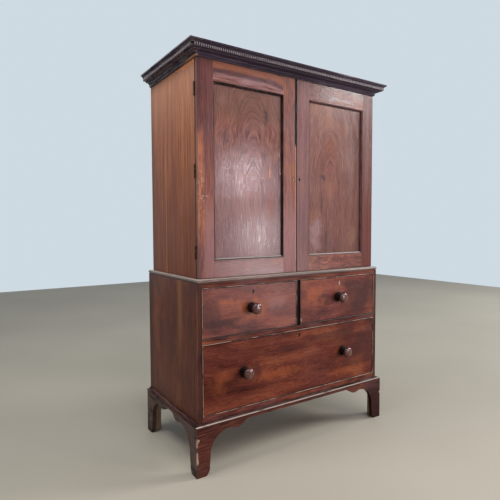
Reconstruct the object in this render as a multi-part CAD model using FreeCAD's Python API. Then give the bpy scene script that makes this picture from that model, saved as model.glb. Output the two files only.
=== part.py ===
import FreeCAD, Part
import os

# A linen press in two stages: a chest of three drawers on bracket feet, and above it a cupboard
# with two framed doors, four sliding trays and a mitred cornice with a row of dentils.
# Millimetres. X runs to the right, Y to the back and Z up from the floor. The press is drawn
# with Y = 0 at the front face of the chest, and save() moves it so that the origin lies on the
# floor in the middle of its outline.

V = FreeCAD.Vector

# Chest, outside
CHEST_WIDTH = 1200.0
CHEST_DEPTH = 600.0
CASE_SIDE = 22.0
CASE_BOARD = 18.0
BACK_BOARD = 12.0
BOARD_JOINT = 0.6
LOWER_BACK_BOARDS = 3
UPPER_BACK_BOARDS = 5

# Chest, front frame from the base up
BOTTOM_RAIL_SHOWN = 24.5
LONG_OPENING = 341.5
MIDDLE_RAIL = 22.5
SHORT_OPENING = 242.5
TOP_RAIL = 22.0
RAIL_DEPTH = 65.0
DIVIDER = 14.0
DIVIDER_CENTRE = -7.0
RUNNER_WIDTH = 38.0
GUIDE_HEIGHT = 20.0
KICKER_HEIGHT = 6.0
DUSTBOARD = 10.0

# Base with bracket feet
BASE_HEIGHT = 233.0
APRON_DEPTH = 13.0
BASE_BOARD = 22.0
BASE_LAP = 1.0
LEG_WIDTH = 72.0
LEG_TAPER = 5.0
TOE_WIDTH = 50.0
TOE_ROUND = 44.0
ARCH_SPRING = 96.0
ARCH_DROP = 33.0
ARCH_LENGTH = 100.0
CUSP_LENGTH = 28.0
CUSP_DROP = 6.0
LOBE_LENGTH = 62.0
LOBE_RISE = 16.0
LOBE_END = 22.0
BLOCK_WIDTH = 30.0
BLOCK_CLEAR = 4.0
REAR_BRACKET_LENGTH = 225.0
BRACKET_OVERCUT = 1.0
BASE_MOULD_HEIGHT = 13.0
BASE_MOULD_LIP = 1.0
BASE_MOULD_EDGE = 4.0
BASE_MOULD_FILLET = 2.5
FILLET_OUT = 3.0
FILLET_LEDGE = 2.0

# Waist between chest and cupboard
WAIST_HEIGHT = 17.0
WAIST_QUIRK = 4.0
WAIST_QUIRK_DEPTH = 3.0
WAIST_PROUD = 2.5
WAIST_NOSE = 1.0
WAIST_NOSE_RISE = 2.0
WAIST_SHOULDER = 6.0

# Cupboard
CUPBOARD_INSET = 19.0
DOOR_SETBACK = 22.5
CUPBOARD_HEIGHT = 1028.0
CUPBOARD_BACK_INSET = 19.5
CUPBOARD_BOARD = 20.0
DOOR_THICK = 25.0
DOOR_BACK_GAP = 0.5
DOOR_END_GAP = 2.0
DOOR_SEAM = 5.0
STILE = 84.0
TOP_DOOR_RAIL = 92.0
BOTTOM_DOOR_RAIL = 82.0
TENON = 9.0
TENON_LENGTH = 60.0
TENON_SHOULDER = 12.0
PANEL_RECESS = 12.0
PANEL_BACK_RECESS = 3.0
PANEL_TONGUE = 8.0
PANEL_PLAY = 1.0
PANEL_MOULD_WIDTH = 9.0
PANEL_MOULD_SINK = 1.0
PANEL_MOULD_STEP = 1.5

# Cornice
CORNICE_HEIGHT = 59.0
CORNICE_REACH = 57.0
CORNICE_FRAME = 22.0
CORNICE_FRAME_HEIGHT = 48.0
DENTIL_PITCH = 11.0
DENTIL_WIDTH = 6.4
DENTIL_HEIGHT = 12.0
DENTIL_BASE = 30.0
DENTIL_BACK = 42.0
DENTIL_STRIP = 1.4
DENTIL_DEPTH = 4.0
DENTIL_LEDGE = 2.0

# Members of the cornice from the bottom up: how far out and how high each one ends
CORNICE_FILLET = (4.0, 2.0)
CORNICE_ASTRAGAL = (6.0, 12.0)
CORNICE_STEP = (10.0, 14.0)
CORNICE_COVE = (24.0, 21.5)
CORNICE_BEAD = (27.0, 26.5)
CORNICE_SOFFIT = 31.0
CROWN_FILLET = 3.0
CROWN_COVE = 4.0
CROWN_BEAD = 4.5
CROWN_LIP = 7.0

# Bends of the moulding sections, as the rise of an arc over its chord
HOLLOW = 0.18
ROUND = -0.3
HALF_ROUND = -0.45
NOSE_ROUND = -0.15
SLOPE_ROUND = -0.22
PANEL_ROUND = -0.2

# Bends of the sawn outlines: bracket feet and the hand dips of the trays
TOE_BEND = -0.14
LEG_BEND = -0.02
CROWN_BEND = 0.2
CUSP_BEND = 0.08
LOBE_BEND = -0.14
LOBE_END_BEND = 0.12
REAR_BEND = 0.16
DIP_BEND = 0.12

# Drawers
DRAWER_BACK_GAP = 28.0
DRAWER_FRONT = 22.0
DRAWER_SIDE = 11.0
DRAWER_BACK = 11.0
DRAWER_BOTTOM = 8.0
BOTTOM_LIFT = 10.0
BOTTOM_GROOVE = 5.0
SIDE_DROP = 12.0
DOVETAIL_PITCH = 80.0
DOVETAIL_LAP = 13.0
DOVETAIL_SLOPE = 2.2
DOVETAIL_SHOULDER = 0.16
FRONT_GAP = 1.0
RUN_GAP = 0.3
FRONT_LIFT = 1.0
SHRINK_GAP = 6.0
BEAD_THICK = 3.0
BEAD_DEPTH = 8.0
BEAD_PROUD = 2.5
BEAD_NOSE = 1.0
STOP_HEIGHT = 6.0
STOP_LENGTH = 40.0
STOP_DEPTH = 18.0
STOP_INSET = 120.0

# Knobs
KNOB_RADIUS = 28.5
KNOB_REACH = 56.0
KNOB_WIDEST = 41.0
KNOB_FOOT_RADIUS = 25.5
KNOB_FOOT = 4.0
KNOB_FOOT_STEP = (4.0, 1.0)
KNOB_NECK_RADIUS = 14.5
KNOB_NECK = (13.0, 22.0)
KNOB_SHOULDER_DROP = 4.0
KNOB_CHEEK_DROP = 2.0
KNOB_CROWN_DROP = 10.0
KNOB_CROWN = 2.0
KNOB_RISE = 5.0
SHORT_KNOB_SHIFT = -4.0
LONG_KNOB_SPACING = 670.0
LONG_KNOB_SHIFT = -12.0

# Locks and keyholes
KEYHOLE_RADIUS = 3.2
KEYHOLE_SLOT = 3.4
KEYHOLE_LENGTH = 11.0
KEYHOLE_SHIFT = 4.0
SHORT_KEYHOLE_DROP = 34.0
LONG_KEYHOLE_DROP = 28.0
LOCK_WIDTH = 64.0
LOCK_HEIGHT = 46.0
LOCK_THICK = 11.0
LOCK_BOLT_WIDTH = 22.0
LOCK_BOLT_THICK = 6.0
LOCK_BOLT_LENGTH = 30.0
LOCK_BOLT_SINK = 0.8
LOCK_THROW = 8.0
BOLT_PLAY = 0.5
DOOR_KEYHOLE_RISE = 490.0
DOOR_KEYHOLE_INSET = 18.0
DOOR_LOCK_WIDTH = 48.0
DOOR_LOCK_HEIGHT = 72.0
DOOR_BOLT_THROW = 13.0
BLIND_KEYHOLE_DEPTH = 5.0
BLIND_KEYHOLE_WALL = 1.5

# Door hinges
HINGE_LENGTH = 64.0
HINGE_LEAF = 20.0
HINGE_LEAF_THICK = 2.0
KNUCKLE_RADIUS = 4.0
PIN_RADIUS = 2.0
PIN_PLAY = 0.05
KNUCKLE_COUNT = 3
KNUCKLE_GAP = 0.3
KNUCKLE_NOTCH = 0.6
HINGE_OUTSET = 2.5
HINGE_LOW_INSET = 122.0
HINGE_HIGH_INSET = 135.0

# Flat bolts on the back of the left door
BAR_WIDTH = 12.0
BAR_THICK = 5.0
BAR_LENGTH = 92.0
BAR_PLAY = 0.3
BAR_CLEAR = 3.0
BAR_TRAVEL = 13.0
BAR_INSET = 42.0
BAR_SOCKET_SPARE = 2.0
BOLT_PLATE_WIDTH = 30.0
BOLT_PLATE_THICK = 2.0
KEEPER_WALL = 2.0
KEEPER_HEIGHT = 8.0
THUMB_WIDTH = 7.0
THUMB_HEIGHT = 10.0
THUMB_PROUD = 8.0

# Trays
TRAY_COUNT = 4
TRAY_HEIGHT = 105.0
TRAY_BOARD = 12.0
TRAY_BOTTOM = 8.0
TRAY_SIDE_GAP = 2.0
TRAY_DIP = 26.0
TRAY_DIP_WIDTH = 420.0
TRAY_DIP_CURVE = 70.0
TRAY_SETBACK = 28.0
TRAY_BACK_GAP = 12.0
TRAY_RUNNER = 20.0
FIRST_TRAY = 24.0

# Places that follow from the sizes above
HALF = CHEST_WIDTH / 2
INSIDE = HALF - CASE_SIDE
BASE_PROUD = BASE_BOARD - BASE_LAP
APRON_EDGE = BASE_HEIGHT - APRON_DEPTH
ARCH_TOP = BASE_HEIGHT - ARCH_DROP
LONG_FLOOR = BASE_HEIGHT + BASE_MOULD_HEIGHT + BOTTOM_RAIL_SHOWN
LONG_CEILING = LONG_FLOOR + LONG_OPENING
SHORT_FLOOR = LONG_CEILING + MIDDLE_RAIL
SHORT_CEILING = SHORT_FLOOR + SHORT_OPENING
CHEST_TOP = SHORT_CEILING + TOP_RAIL
CHEST_BACK = CHEST_DEPTH - BACK_BOARD
DRAWER_END = CHEST_BACK - DRAWER_BACK_GAP
DIVIDER_LEFT = DIVIDER_CENTRE - DIVIDER / 2
DIVIDER_RIGHT = DIVIDER_CENTRE + DIVIDER / 2
WAIST_TOP = CHEST_TOP + WAIST_HEIGHT

UPPER_HALF = HALF - CUPBOARD_INSET
UPPER_INSIDE = UPPER_HALF - CASE_SIDE
UPPER_FRONT = DOOR_SETBACK + DOOR_THICK + DOOR_BACK_GAP
UPPER_BACK = CHEST_DEPTH - CUPBOARD_BACK_INSET
UPPER_TOP = CHEST_TOP + CUPBOARD_HEIGHT
UPPER_FLOOR = CHEST_TOP + CUPBOARD_BOARD
UPPER_CEILING = UPPER_TOP - CUPBOARD_BOARD
DOOR_LOW = WAIST_TOP + DOOR_END_GAP
DOOR_HIGH = UPPER_TOP - DOOR_END_GAP
DOOR_BACK = DOOR_SETBACK + DOOR_THICK
DOOR_EDGE = DOOR_SEAM / 2
HINGE_TOP = DOOR_HIGH - DOOR_LOW - HINGE_HIGH_INSET
HINGE_HEIGHTS = (HINGE_LOW_INSET, (HINGE_LOW_INSET + HINGE_TOP) / 2, HINGE_TOP)
PANEL_THICK = DOOR_THICK - PANEL_RECESS - PANEL_BACK_RECESS
PANEL_LOW = DOOR_LOW + BOTTOM_DOOR_RAIL
PANEL_HIGH = DOOR_HIGH - TOP_DOOR_RAIL
KEYHOLE_HEIGHT = DOOR_LOW + DOOR_KEYHOLE_RISE
CENTRE_SHIFT = (KNOB_REACH - CHEST_DEPTH) / 2

ALL_NODES = []


# ---------------------------------------------------------------- helpers

def save(node, solids):
    """Write one node: a solid, or a group of separate solids."""
    pieces = []
    for solid in solids:
        pieces.extend(solid.Solids)
    shape = pieces[0] if len(pieces) == 1 else Part.makeCompound(pieces)
    shape.translate(V(0, CENTRE_SHIFT, 0))
    shape.exportStep("parts/" + node + ".step")
    ALL_NODES.append(node)


def box(x_low, x_high, y_low, y_high, z_low, z_high):
    """Block between two opposite corners."""
    return Part.makeBox(x_high - x_low, y_high - y_low, z_high - z_low, V(x_low, y_low, z_low))


def outline(moves, place):
    """Flat face inside a closed run of moves.

    A move is (u, v) for a straight line, or (u, v, bend) for an arc whose rise is bend times
    its chord, to the left of the way it runs. place turns a pair into a point in space.
    """
    edges = []
    here = moves[0]
    for move in list(moves[1:]) + [moves[0][:2]]:
        start = place(here[0], here[1])
        end = place(move[0], move[1])
        if start.distanceToPoint(end) > 1e-6:
            if len(move) == 3:
                run_u = move[0] - here[0]
                run_v = move[1] - here[1]
                mid_u = (here[0] + move[0]) / 2 - run_v * move[2]
                mid_v = (here[1] + move[1]) / 2 + run_u * move[2]
                edges.append(Part.Arc(start, place(mid_u, mid_v), end).toShape())
            else:
                edges.append(Part.LineSegment(start, end).toShape())
        here = move
    return Part.Face(Part.Wire(edges))


def front_slab(moves, y_low, y_high):
    """Board sawn to an outline seen from the front."""
    return outline(moves, lambda u, v: V(u, y_low, v)).extrude(V(0, y_high - y_low, 0))


def side_slab(moves, x_low, x_high):
    """Board sawn to an outline seen from the side, with u running to the back."""
    return outline(moves, lambda u, v: V(x_low, u, v)).extrude(V(x_high - x_low, 0, 0))


def plan_slab(moves, z_low, z_high):
    """Board sawn to an outline seen from above."""
    return outline(moves, lambda u, v: V(u, v, z_low)).extrude(V(0, 0, z_high - z_low))


def flip(shape):
    """The same piece for the other side of the press."""
    return shape.mirror(V(0, 0, 0), V(1, 0, 0))


def both(shape):
    """A piece and its mirror image."""
    return [shape, flip(shape)]


def upright_rod(x, y, z_low, z_high, radius):
    """Round rod or hole that stands upright."""
    return Part.makeCylinder(radius, z_high - z_low, V(x, y, z_low), V(0, 0, 1))


def mitred_lengths(profile, half_width, front, back, side_in, front_in):
    """Front, left and right lengths of a moulding, mitred at the two front corners.

    profile(inner) gives moves in (out, up) pairs, where out is measured from the face that the
    moulding runs along and inner is how far it reaches behind that face.
    """
    reach = max(move[0] for move in profile(0)) + 1
    corner = half_width - side_in
    wide = half_width + reach
    low = min(move[1] for move in profile(0)) - 1
    high = max(move[1] for move in profile(0)) + 1
    front_run = outline(profile(front_in), lambda out, up: V(-wide, front - out, up))
    front_run = front_run.extrude(V(2 * wide, 0, 0))
    front_plan = [(-wide, front - reach), (wide, front - reach), (corner, front + side_in)]
    if front_in > side_in:
        front_plan += [(corner, front + front_in), (-corner, front + front_in)]
    front_plan += [(-corner, front + side_in)]
    side_run = outline(profile(side_in), lambda out, up: V(-half_width - out, front - reach, up))
    side_run = side_run.extrude(V(0, back - front + reach, 0))
    side_plan = [(-wide, front - reach), (-corner, front + side_in), (-corner, back), (-wide, back)]
    front_piece = front_run.common(plan_slab(front_plan, low, high))
    side_piece = side_run.common(plan_slab(side_plan, low, high))
    return [front_piece] + both(side_piece)


def frame_strips(x_low, x_high, z_low, z_high, profile):
    """Four mitred strips round the inside of a rectangle seen from the front.

    profile gives moves in (inward, back) pairs, measured from the rectangle's edge and in Y.
    """
    wide = max(move[0] for move in profile)
    y_low = min(move[1] for move in profile) - 5
    y_high = max(move[1] for move in profile) + 5
    low_left = (x_low, z_low)
    low_right = (x_high, z_low)
    top_right = (x_high, z_high)
    top_left = (x_low, z_high)
    in_low_left = (x_low + wide, z_low + wide)
    in_low_right = (x_high - wide, z_low + wide)
    in_top_right = (x_high - wide, z_high - wide)
    in_top_left = (x_low + wide, z_high - wide)
    across = V(x_high - x_low, 0, 0)
    upward = V(0, 0, z_high - z_low)
    runs = (
        (lambda w, y: V(x_low, y, z_low + w), across, (low_left, low_right, in_low_right, in_low_left)),
        (lambda w, y: V(x_low, y, z_high - w), across, (top_left, top_right, in_top_right, in_top_left)),
        (lambda w, y: V(x_low + w, y, z_low), upward, (low_left, top_left, in_top_left, in_low_left)),
        (lambda w, y: V(x_high - w, y, z_low), upward, (low_right, top_right, in_top_right, in_low_right)),
    )
    strips = []
    for place, length, mitre in runs:
        strip = outline(profile, place).extrude(length)
        strips.append(strip.common(front_slab(mitre, y_low, y_high)))
    return strips


def keyhole(x, z, y_low, y_high, grow=0.0):
    """Key-shaped hole: a round eye over a straight slot."""
    radius = KEYHOLE_RADIUS + grow
    slot = KEYHOLE_SLOT / 2 + grow
    eye = Part.makeCylinder(radius, y_high - y_low, V(x, y_low, z), V(0, 1, 0))
    tail = box(x - slot, x + slot, y_low, y_high, z - KEYHOLE_LENGTH - grow, z)
    return eye.fuse(tail)


# ---------------------------------------------------------------- base

def bracket_moves():
    """One bracket from its outer corner: toe, leg, arch, cusp and lobe."""
    crown = LEG_WIDTH + ARCH_LENGTH
    cusp = crown + CUSP_LENGTH
    lobe = cusp + LOBE_LENGTH
    cusp_height = ARCH_TOP - CUSP_DROP
    return [
        (0, BASE_HEIGHT),
        (0, 0),
        (TOE_WIDTH, 0),
        (LEG_WIDTH - LEG_TAPER, TOE_ROUND, TOE_BEND),
        (LEG_WIDTH, ARCH_SPRING, LEG_BEND),
        (crown, ARCH_TOP, CROWN_BEND),
        (cusp, cusp_height, CUSP_BEND),
        (lobe, cusp_height + LOBE_RISE, LOBE_BEND),
        (lobe + LOBE_END, APRON_EDGE, LOBE_END_BEND),
        (lobe + LOBE_END, BASE_HEIGHT),
    ]


def make_base():
    face = HALF + BASE_PROUD
    inner = face - BASE_BOARD
    front_face = -BASE_PROUD
    front_back = front_face + BASE_BOARD
    past = BRACKET_OVERCUT
    tip = (-face - past, front_face - past)

    bracket = front_slab(bracket_moves(), front_face, front_back)
    bracket.translate(V(-face, 0, 0))
    board = box(-face, face, front_face, front_back, APRON_EDGE, BASE_HEIGHT)
    board = board.fuse(both(bracket)).removeSplitter()
    mitres = [tip, (face + past, front_face - past), (0, face + front_face)]
    save("plinth_front", [board.common(plan_slab(mitres, -past, BASE_HEIGHT + past))])

    fore = side_slab(bracket_moves(), -face, -inner)
    fore.translate(V(0, front_face, 0))
    aft = fore.mirror(V(0, (front_face + CHEST_DEPTH) / 2, 0), V(0, 1, 0))
    side = box(-face, -inner, front_face, CHEST_DEPTH, APRON_EDGE, BASE_HEIGHT)
    side = side.fuse([fore, aft]).removeSplitter()
    mitre = [tip, (-inner + past, front_back + past), (-inner + past, CHEST_DEPTH + past),
             (-face - past, CHEST_DEPTH + past)]
    side = side.common(plan_slab(mitre, -past, BASE_HEIGHT + past))
    save("plinth_sides", both(side))

    rear_leg = LEG_WIDTH - BASE_BOARD
    rear = front_slab([
        (-inner, 0),
        (-inner + rear_leg, 0),
        (-inner + rear_leg, ARCH_SPRING),
        (-inner + rear_leg + ARCH_LENGTH, ARCH_TOP, REAR_BEND),
        (-inner + REAR_BRACKET_LENGTH, BASE_HEIGHT),
        (-inner, BASE_HEIGHT),
    ], CHEST_DEPTH - BASE_BOARD, CHEST_DEPTH)
    save("back_brackets", both(rear))

    fore_block = box(-inner, -inner + BLOCK_WIDTH, front_back, front_back + BLOCK_WIDTH,
                     BLOCK_CLEAR, BASE_HEIGHT)
    aft_block = box(-inner, -inner + BLOCK_WIDTH, CHEST_DEPTH - BASE_BOARD - BLOCK_WIDTH,
                    CHEST_DEPTH - BASE_BOARD, BLOCK_CLEAR, BASE_HEIGHT)
    save("foot_blocks", both(fore_block) + both(aft_block))


def base_mould(inner):
    """Fillet, hollow and fillet that step out from the chest to the base boards."""
    low = BASE_HEIGHT
    high = low + BASE_MOULD_HEIGHT
    reach = BASE_PROUD + BASE_MOULD_LIP
    return [
        (-inner, low),
        (reach, low),
        (reach, low + BASE_MOULD_EDGE),
        (reach - FILLET_OUT, low + BASE_MOULD_EDGE),
        (FILLET_OUT + FILLET_LEDGE, high - BASE_MOULD_FILLET, HOLLOW),
        (FILLET_OUT, high - BASE_MOULD_FILLET),
        (FILLET_OUT, high),
        (-inner, high),
    ]


def waist_mould(inner):
    """Quirk and thumb moulding on top of the chest, round the foot of the cupboard."""
    low = CHEST_TOP
    quirk = low + WAIST_QUIRK
    return [
        (-inner, low),
        (-WAIST_QUIRK_DEPTH, low),
        (-WAIST_QUIRK_DEPTH, quirk),
        (WAIST_PROUD - WAIST_NOSE, quirk),
        (WAIST_PROUD, quirk + WAIST_NOSE_RISE, NOSE_ROUND),
        (-WAIST_SHOULDER, low + WAIST_HEIGHT, SLOPE_ROUND),
        (-inner, low + WAIST_HEIGHT),
    ]


# ---------------------------------------------------------------- chest

def make_chest():
    side = box(-HALF, -INSIDE, 0, CHEST_DEPTH, BASE_HEIGHT, CHEST_TOP)
    save("lower_sides", both(side))
    save("lower_top", [box(-INSIDE, INSIDE, RAIL_DEPTH, CHEST_BACK, CHEST_TOP - CASE_BOARD, CHEST_TOP)])
    save("lower_bottom", [box(-INSIDE, INSIDE, RAIL_DEPTH, CHEST_BACK, LONG_FLOOR - CASE_BOARD, LONG_FLOOR)])

    step = (CHEST_TOP - BASE_HEIGHT) / LOWER_BACK_BOARDS
    backs = []
    for index in range(LOWER_BACK_BOARDS):
        low = BASE_HEIGHT + index * step
        backs.append(box(-INSIDE, INSIDE, CHEST_BACK, CHEST_DEPTH, low, low + step - BOARD_JOINT))
    save("lower_back", backs)

    top_rail = box(-INSIDE, INSIDE, 0, RAIL_DEPTH, SHORT_CEILING, CHEST_TOP)
    for drawer in DRAWERS[:2]:
        top_rail = top_rail.cut(bolt_mortise(drawer))
    middle_rail = box(-INSIDE, INSIDE, 0, RAIL_DEPTH, LONG_CEILING, SHORT_FLOOR)
    middle_rail = middle_rail.cut(bolt_mortise(DRAWERS[2]))
    bottom_rail = box(-INSIDE, INSIDE, 0, RAIL_DEPTH, BASE_HEIGHT, LONG_FLOOR)
    divider = box(DIVIDER_LEFT, DIVIDER_RIGHT, 0, RAIL_DEPTH, SHORT_FLOOR, SHORT_CEILING)
    save("drawer_rails", [top_rail, middle_rail, bottom_rail])
    save("drawer_divider", [divider])

    centre_left = DIVIDER_LEFT - RUNNER_WIDTH / 2
    centre_right = DIVIDER_RIGHT + SHRINK_GAP + RUNNER_WIDTH / 2
    edge = INSIDE - RUNNER_WIDTH
    board_low = (LONG_CEILING + SHORT_FLOOR - DUSTBOARD) / 2
    dustboards = [
        box(-edge, centre_left, RAIL_DEPTH, CHEST_BACK, board_low, board_low + DUSTBOARD),
        box(centre_right, edge, RAIL_DEPTH, CHEST_BACK, board_low, board_low + DUSTBOARD),
    ]
    save("dustboards", dustboards)

    side_runner = box(-INSIDE, -edge, RAIL_DEPTH, CHEST_BACK, LONG_CEILING, SHORT_FLOOR)
    centre_runner = box(centre_left, centre_right, RAIL_DEPTH, CHEST_BACK, LONG_CEILING, SHORT_FLOOR)
    guide = box(DIVIDER_LEFT, DIVIDER_RIGHT + SHRINK_GAP - FRONT_GAP, RAIL_DEPTH, CHEST_BACK,
                SHORT_FLOOR, SHORT_FLOOR + GUIDE_HEIGHT)
    kicker = box(-INSIDE, -edge, RAIL_DEPTH, CHEST_BACK,
                 CHEST_TOP - CASE_BOARD - KICKER_HEIGHT, CHEST_TOP - CASE_BOARD)
    centre_kicker = box(centre_left, centre_right, RAIL_DEPTH, CHEST_BACK,
                        CHEST_TOP - CASE_BOARD - KICKER_HEIGHT, CHEST_TOP - CASE_BOARD)
    stops = []
    for drawer in DRAWERS:
        for stop_x in (drawer["left"] + STOP_INSET, drawer["right"] - STOP_INSET):
            stops.append(box(stop_x - STOP_LENGTH / 2, stop_x + STOP_LENGTH / 2, DRAWER_FRONT + RUN_GAP,
                             DRAWER_FRONT + RUN_GAP + STOP_DEPTH, drawer["floor"],
                             drawer["floor"] + STOP_HEIGHT))
    save("drawer_runners", both(side_runner) + [centre_runner])
    save("drawer_guide", [guide])
    save("drawer_kickers", both(kicker) + [centre_kicker])
    save("drawer_stops", stops)


def bolt_mortise(drawer):
    """Pocket in the rail above a drawer for its lock bolt."""
    x = drawer["lock_x"]
    back = DRAWER_FRONT - (LOCK_THICK - LOCK_BOLT_THICK) / 2
    return box(x - LOCK_BOLT_WIDTH / 2 - BOLT_PLAY, x + LOCK_BOLT_WIDTH / 2 + BOLT_PLAY,
               back - LOCK_BOLT_THICK - BOLT_PLAY, back + BOLT_PLAY,
               drawer["ceiling"] - 1, drawer["ceiling"] + LOCK_THROW + BOLT_PLAY)


# ---------------------------------------------------------------- drawers

def knob_moves():
    """Half section of a turned knob: foot with a step, hollow, neck and bun head."""
    r = KNOB_RADIUS
    return [
        (0, 0),
        (KNOB_FOOT_RADIUS, 0),
        (KNOB_FOOT_RADIUS, -KNOB_FOOT),
        (KNOB_FOOT_RADIUS - KNOB_FOOT_STEP[0], -KNOB_FOOT - KNOB_FOOT_STEP[1]),
        (KNOB_NECK_RADIUS, -KNOB_NECK[0]),
        (KNOB_NECK_RADIUS, -KNOB_NECK[1]),
        (r - KNOB_SHOULDER_DROP, -(KNOB_NECK[1] + KNOB_WIDEST) / 2),
        (r, -KNOB_WIDEST),
        (r - KNOB_CHEEK_DROP, -(KNOB_WIDEST + KNOB_REACH) / 2),
        (r - KNOB_CROWN_DROP, -KNOB_REACH + KNOB_CROWN),
        (0, -KNOB_REACH),
    ]


def make_knob(x, z):
    """Turned knob that stands on a drawer front."""
    section = outline(knob_moves(), lambda radius, y: V(x + radius, y, z))
    return section.revolve(V(x, 0, z), V(0, 1, 0), 360)


def dovetail_moves(y_root, y_tip, z_low, z_high):
    """Row of tails on one end of a drawer side, listed from the bottom to the top."""
    count = max(2, round((z_high - z_low) / DOVETAIL_PITCH))
    pitch = (z_high - z_low) / count
    moves = [(y_root, z_low)]
    for index in range(count):
        low = z_low + (index + DOVETAIL_SHOULDER) * pitch
        high = z_low + (index + 1 - DOVETAIL_SHOULDER) * pitch
        moves += [(y_root, low), (y_tip, low - DOVETAIL_SLOPE)]
        moves += [(y_tip, high + DOVETAIL_SLOPE), (y_root, high)]
    moves.append((y_root, z_high))
    return moves


def make_drawer(drawer):
    """Dovetailed drawer with a cock-beaded front, knobs and a lock."""
    name = drawer["name"]
    left, right, low, high = drawer["left"], drawer["right"], drawer["low"], drawer["high"]
    end = DRAWER_END

    side_high = high - SIDE_DROP
    root_front = DRAWER_FRONT
    tip_front = DRAWER_FRONT - DOVETAIL_LAP
    front_end = dovetail_moves(root_front, tip_front, low, side_high)
    back_end = dovetail_moves(end - DRAWER_BACK, end, low + BOTTOM_LIFT + DRAWER_BOTTOM, side_high)
    side_moves = front_end + list(reversed(back_end)) + [(end, low + BOTTOM_LIFT + DRAWER_BOTTOM), (end, low)]
    left_side = side_slab(side_moves, left + RUN_GAP, left + RUN_GAP + DRAWER_SIDE)
    right_side = side_slab(side_moves, right - RUN_GAP - DRAWER_SIDE, right - RUN_GAP)

    bottom = box(left + DRAWER_SIDE - BOTTOM_GROOVE, right - DRAWER_SIDE + BOTTOM_GROOVE,
                 DRAWER_FRONT - BOTTOM_GROOVE, end, low + BOTTOM_LIFT, low + BOTTOM_LIFT + DRAWER_BOTTOM)
    front = box(left, right, 0, DRAWER_FRONT, low, high)
    rebate = box(left - 1, right + 1, -1, BEAD_DEPTH, low - 1, high + 1)
    rebate = rebate.cut(box(left + BEAD_THICK, right - BEAD_THICK, -2, BEAD_DEPTH + 1,
                            low + BEAD_THICK, high - BEAD_THICK))
    lock_x = drawer["lock_x"]
    lock_case = box(lock_x - LOCK_WIDTH / 2, lock_x + LOCK_WIDTH / 2, DRAWER_FRONT - LOCK_THICK,
                    DRAWER_FRONT, high - LOCK_HEIGHT, high)
    bolt_back = DRAWER_FRONT - (LOCK_THICK - LOCK_BOLT_THICK) / 2
    bolt = box(lock_x - LOCK_BOLT_WIDTH / 2, lock_x + LOCK_BOLT_WIDTH / 2, bolt_back - LOCK_BOLT_THICK,
               bolt_back, high - LOCK_BOLT_SINK - LOCK_BOLT_LENGTH, high - LOCK_BOLT_SINK)
    bolt_way = box(lock_x - LOCK_BOLT_WIDTH / 2 - RUN_GAP, lock_x + LOCK_BOLT_WIDTH / 2 + RUN_GAP,
                   bolt_back - LOCK_BOLT_THICK - RUN_GAP, bolt_back + RUN_GAP,
                   high - LOCK_BOLT_SINK - LOCK_BOLT_LENGTH - RUN_GAP, high + 1)
    key_z = high - drawer["key_drop"]
    knobs = []
    for x in drawer["knobs"]:
        knobs.append(make_knob(x, (low + high) / 2 + KNOB_RISE))
    for tool in (left_side, right_side, bottom, rebate, lock_case, keyhole(lock_x, key_z, -1, DRAWER_FRONT)):
        front = front.cut(tool)
    back = box(left + RUN_GAP, right - RUN_GAP, end - DRAWER_BACK, end,
               low + BOTTOM_LIFT + DRAWER_BOTTOM, side_high).cut(left_side).cut(right_side)
    beads = frame_strips(left, right, low, high, [
        (0, BEAD_DEPTH),
        (0, BEAD_NOSE - BEAD_PROUD),
        (BEAD_NOSE, -BEAD_PROUD),
        (BEAD_THICK - BEAD_NOSE, -BEAD_PROUD),
        (BEAD_THICK, BEAD_NOSE - BEAD_PROUD),
        (BEAD_THICK, BEAD_DEPTH),
    ])
    save(name + "_front", [front])
    save(name + "_box", [left_side.cut(bottom), right_side.cut(bottom), back, bottom])
    save(name + "_beads_and_knobs", beads + knobs)
    save(name + "_lock", [lock_case.cut(bolt_way)])
    save(name + "_lock_bolt", [bolt])


def drawer_plan(name, left, right, floor, ceiling, key_drop, knobs):
    """Sizes of one drawer, fitted to its opening."""
    return {
        "name": name, "left": left, "right": right, "floor": floor, "ceiling": ceiling,
        "low": floor + FRONT_LIFT, "high": ceiling - FRONT_GAP, "key_drop": key_drop,
        "lock_x": (left + right) / 2 + KEYHOLE_SHIFT, "knobs": knobs,
    }


SHORT_LEFT = (-INSIDE + FRONT_GAP, DIVIDER_LEFT - FRONT_GAP)
SHORT_RIGHT = (DIVIDER_RIGHT + SHRINK_GAP, INSIDE - FRONT_GAP)
LONG_SPAN = (-INSIDE + FRONT_GAP, INSIDE - FRONT_GAP)
DRAWERS = [
    drawer_plan("left_drawer", SHORT_LEFT[0], SHORT_LEFT[1], SHORT_FLOOR, SHORT_CEILING,
                SHORT_KEYHOLE_DROP, [sum(SHORT_LEFT) / 2 + SHORT_KNOB_SHIFT]),
    drawer_plan("right_drawer", SHORT_RIGHT[0], SHORT_RIGHT[1], SHORT_FLOOR, SHORT_CEILING,
                SHORT_KEYHOLE_DROP, [sum(SHORT_RIGHT) / 2 + SHORT_KNOB_SHIFT]),
    drawer_plan("long_drawer", LONG_SPAN[0], LONG_SPAN[1], LONG_FLOOR, LONG_CEILING, LONG_KEYHOLE_DROP,
                [LONG_KNOB_SHIFT - LONG_KNOB_SPACING / 2, LONG_KNOB_SHIFT + LONG_KNOB_SPACING / 2]),
]


# ---------------------------------------------------------------- cupboard

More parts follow.
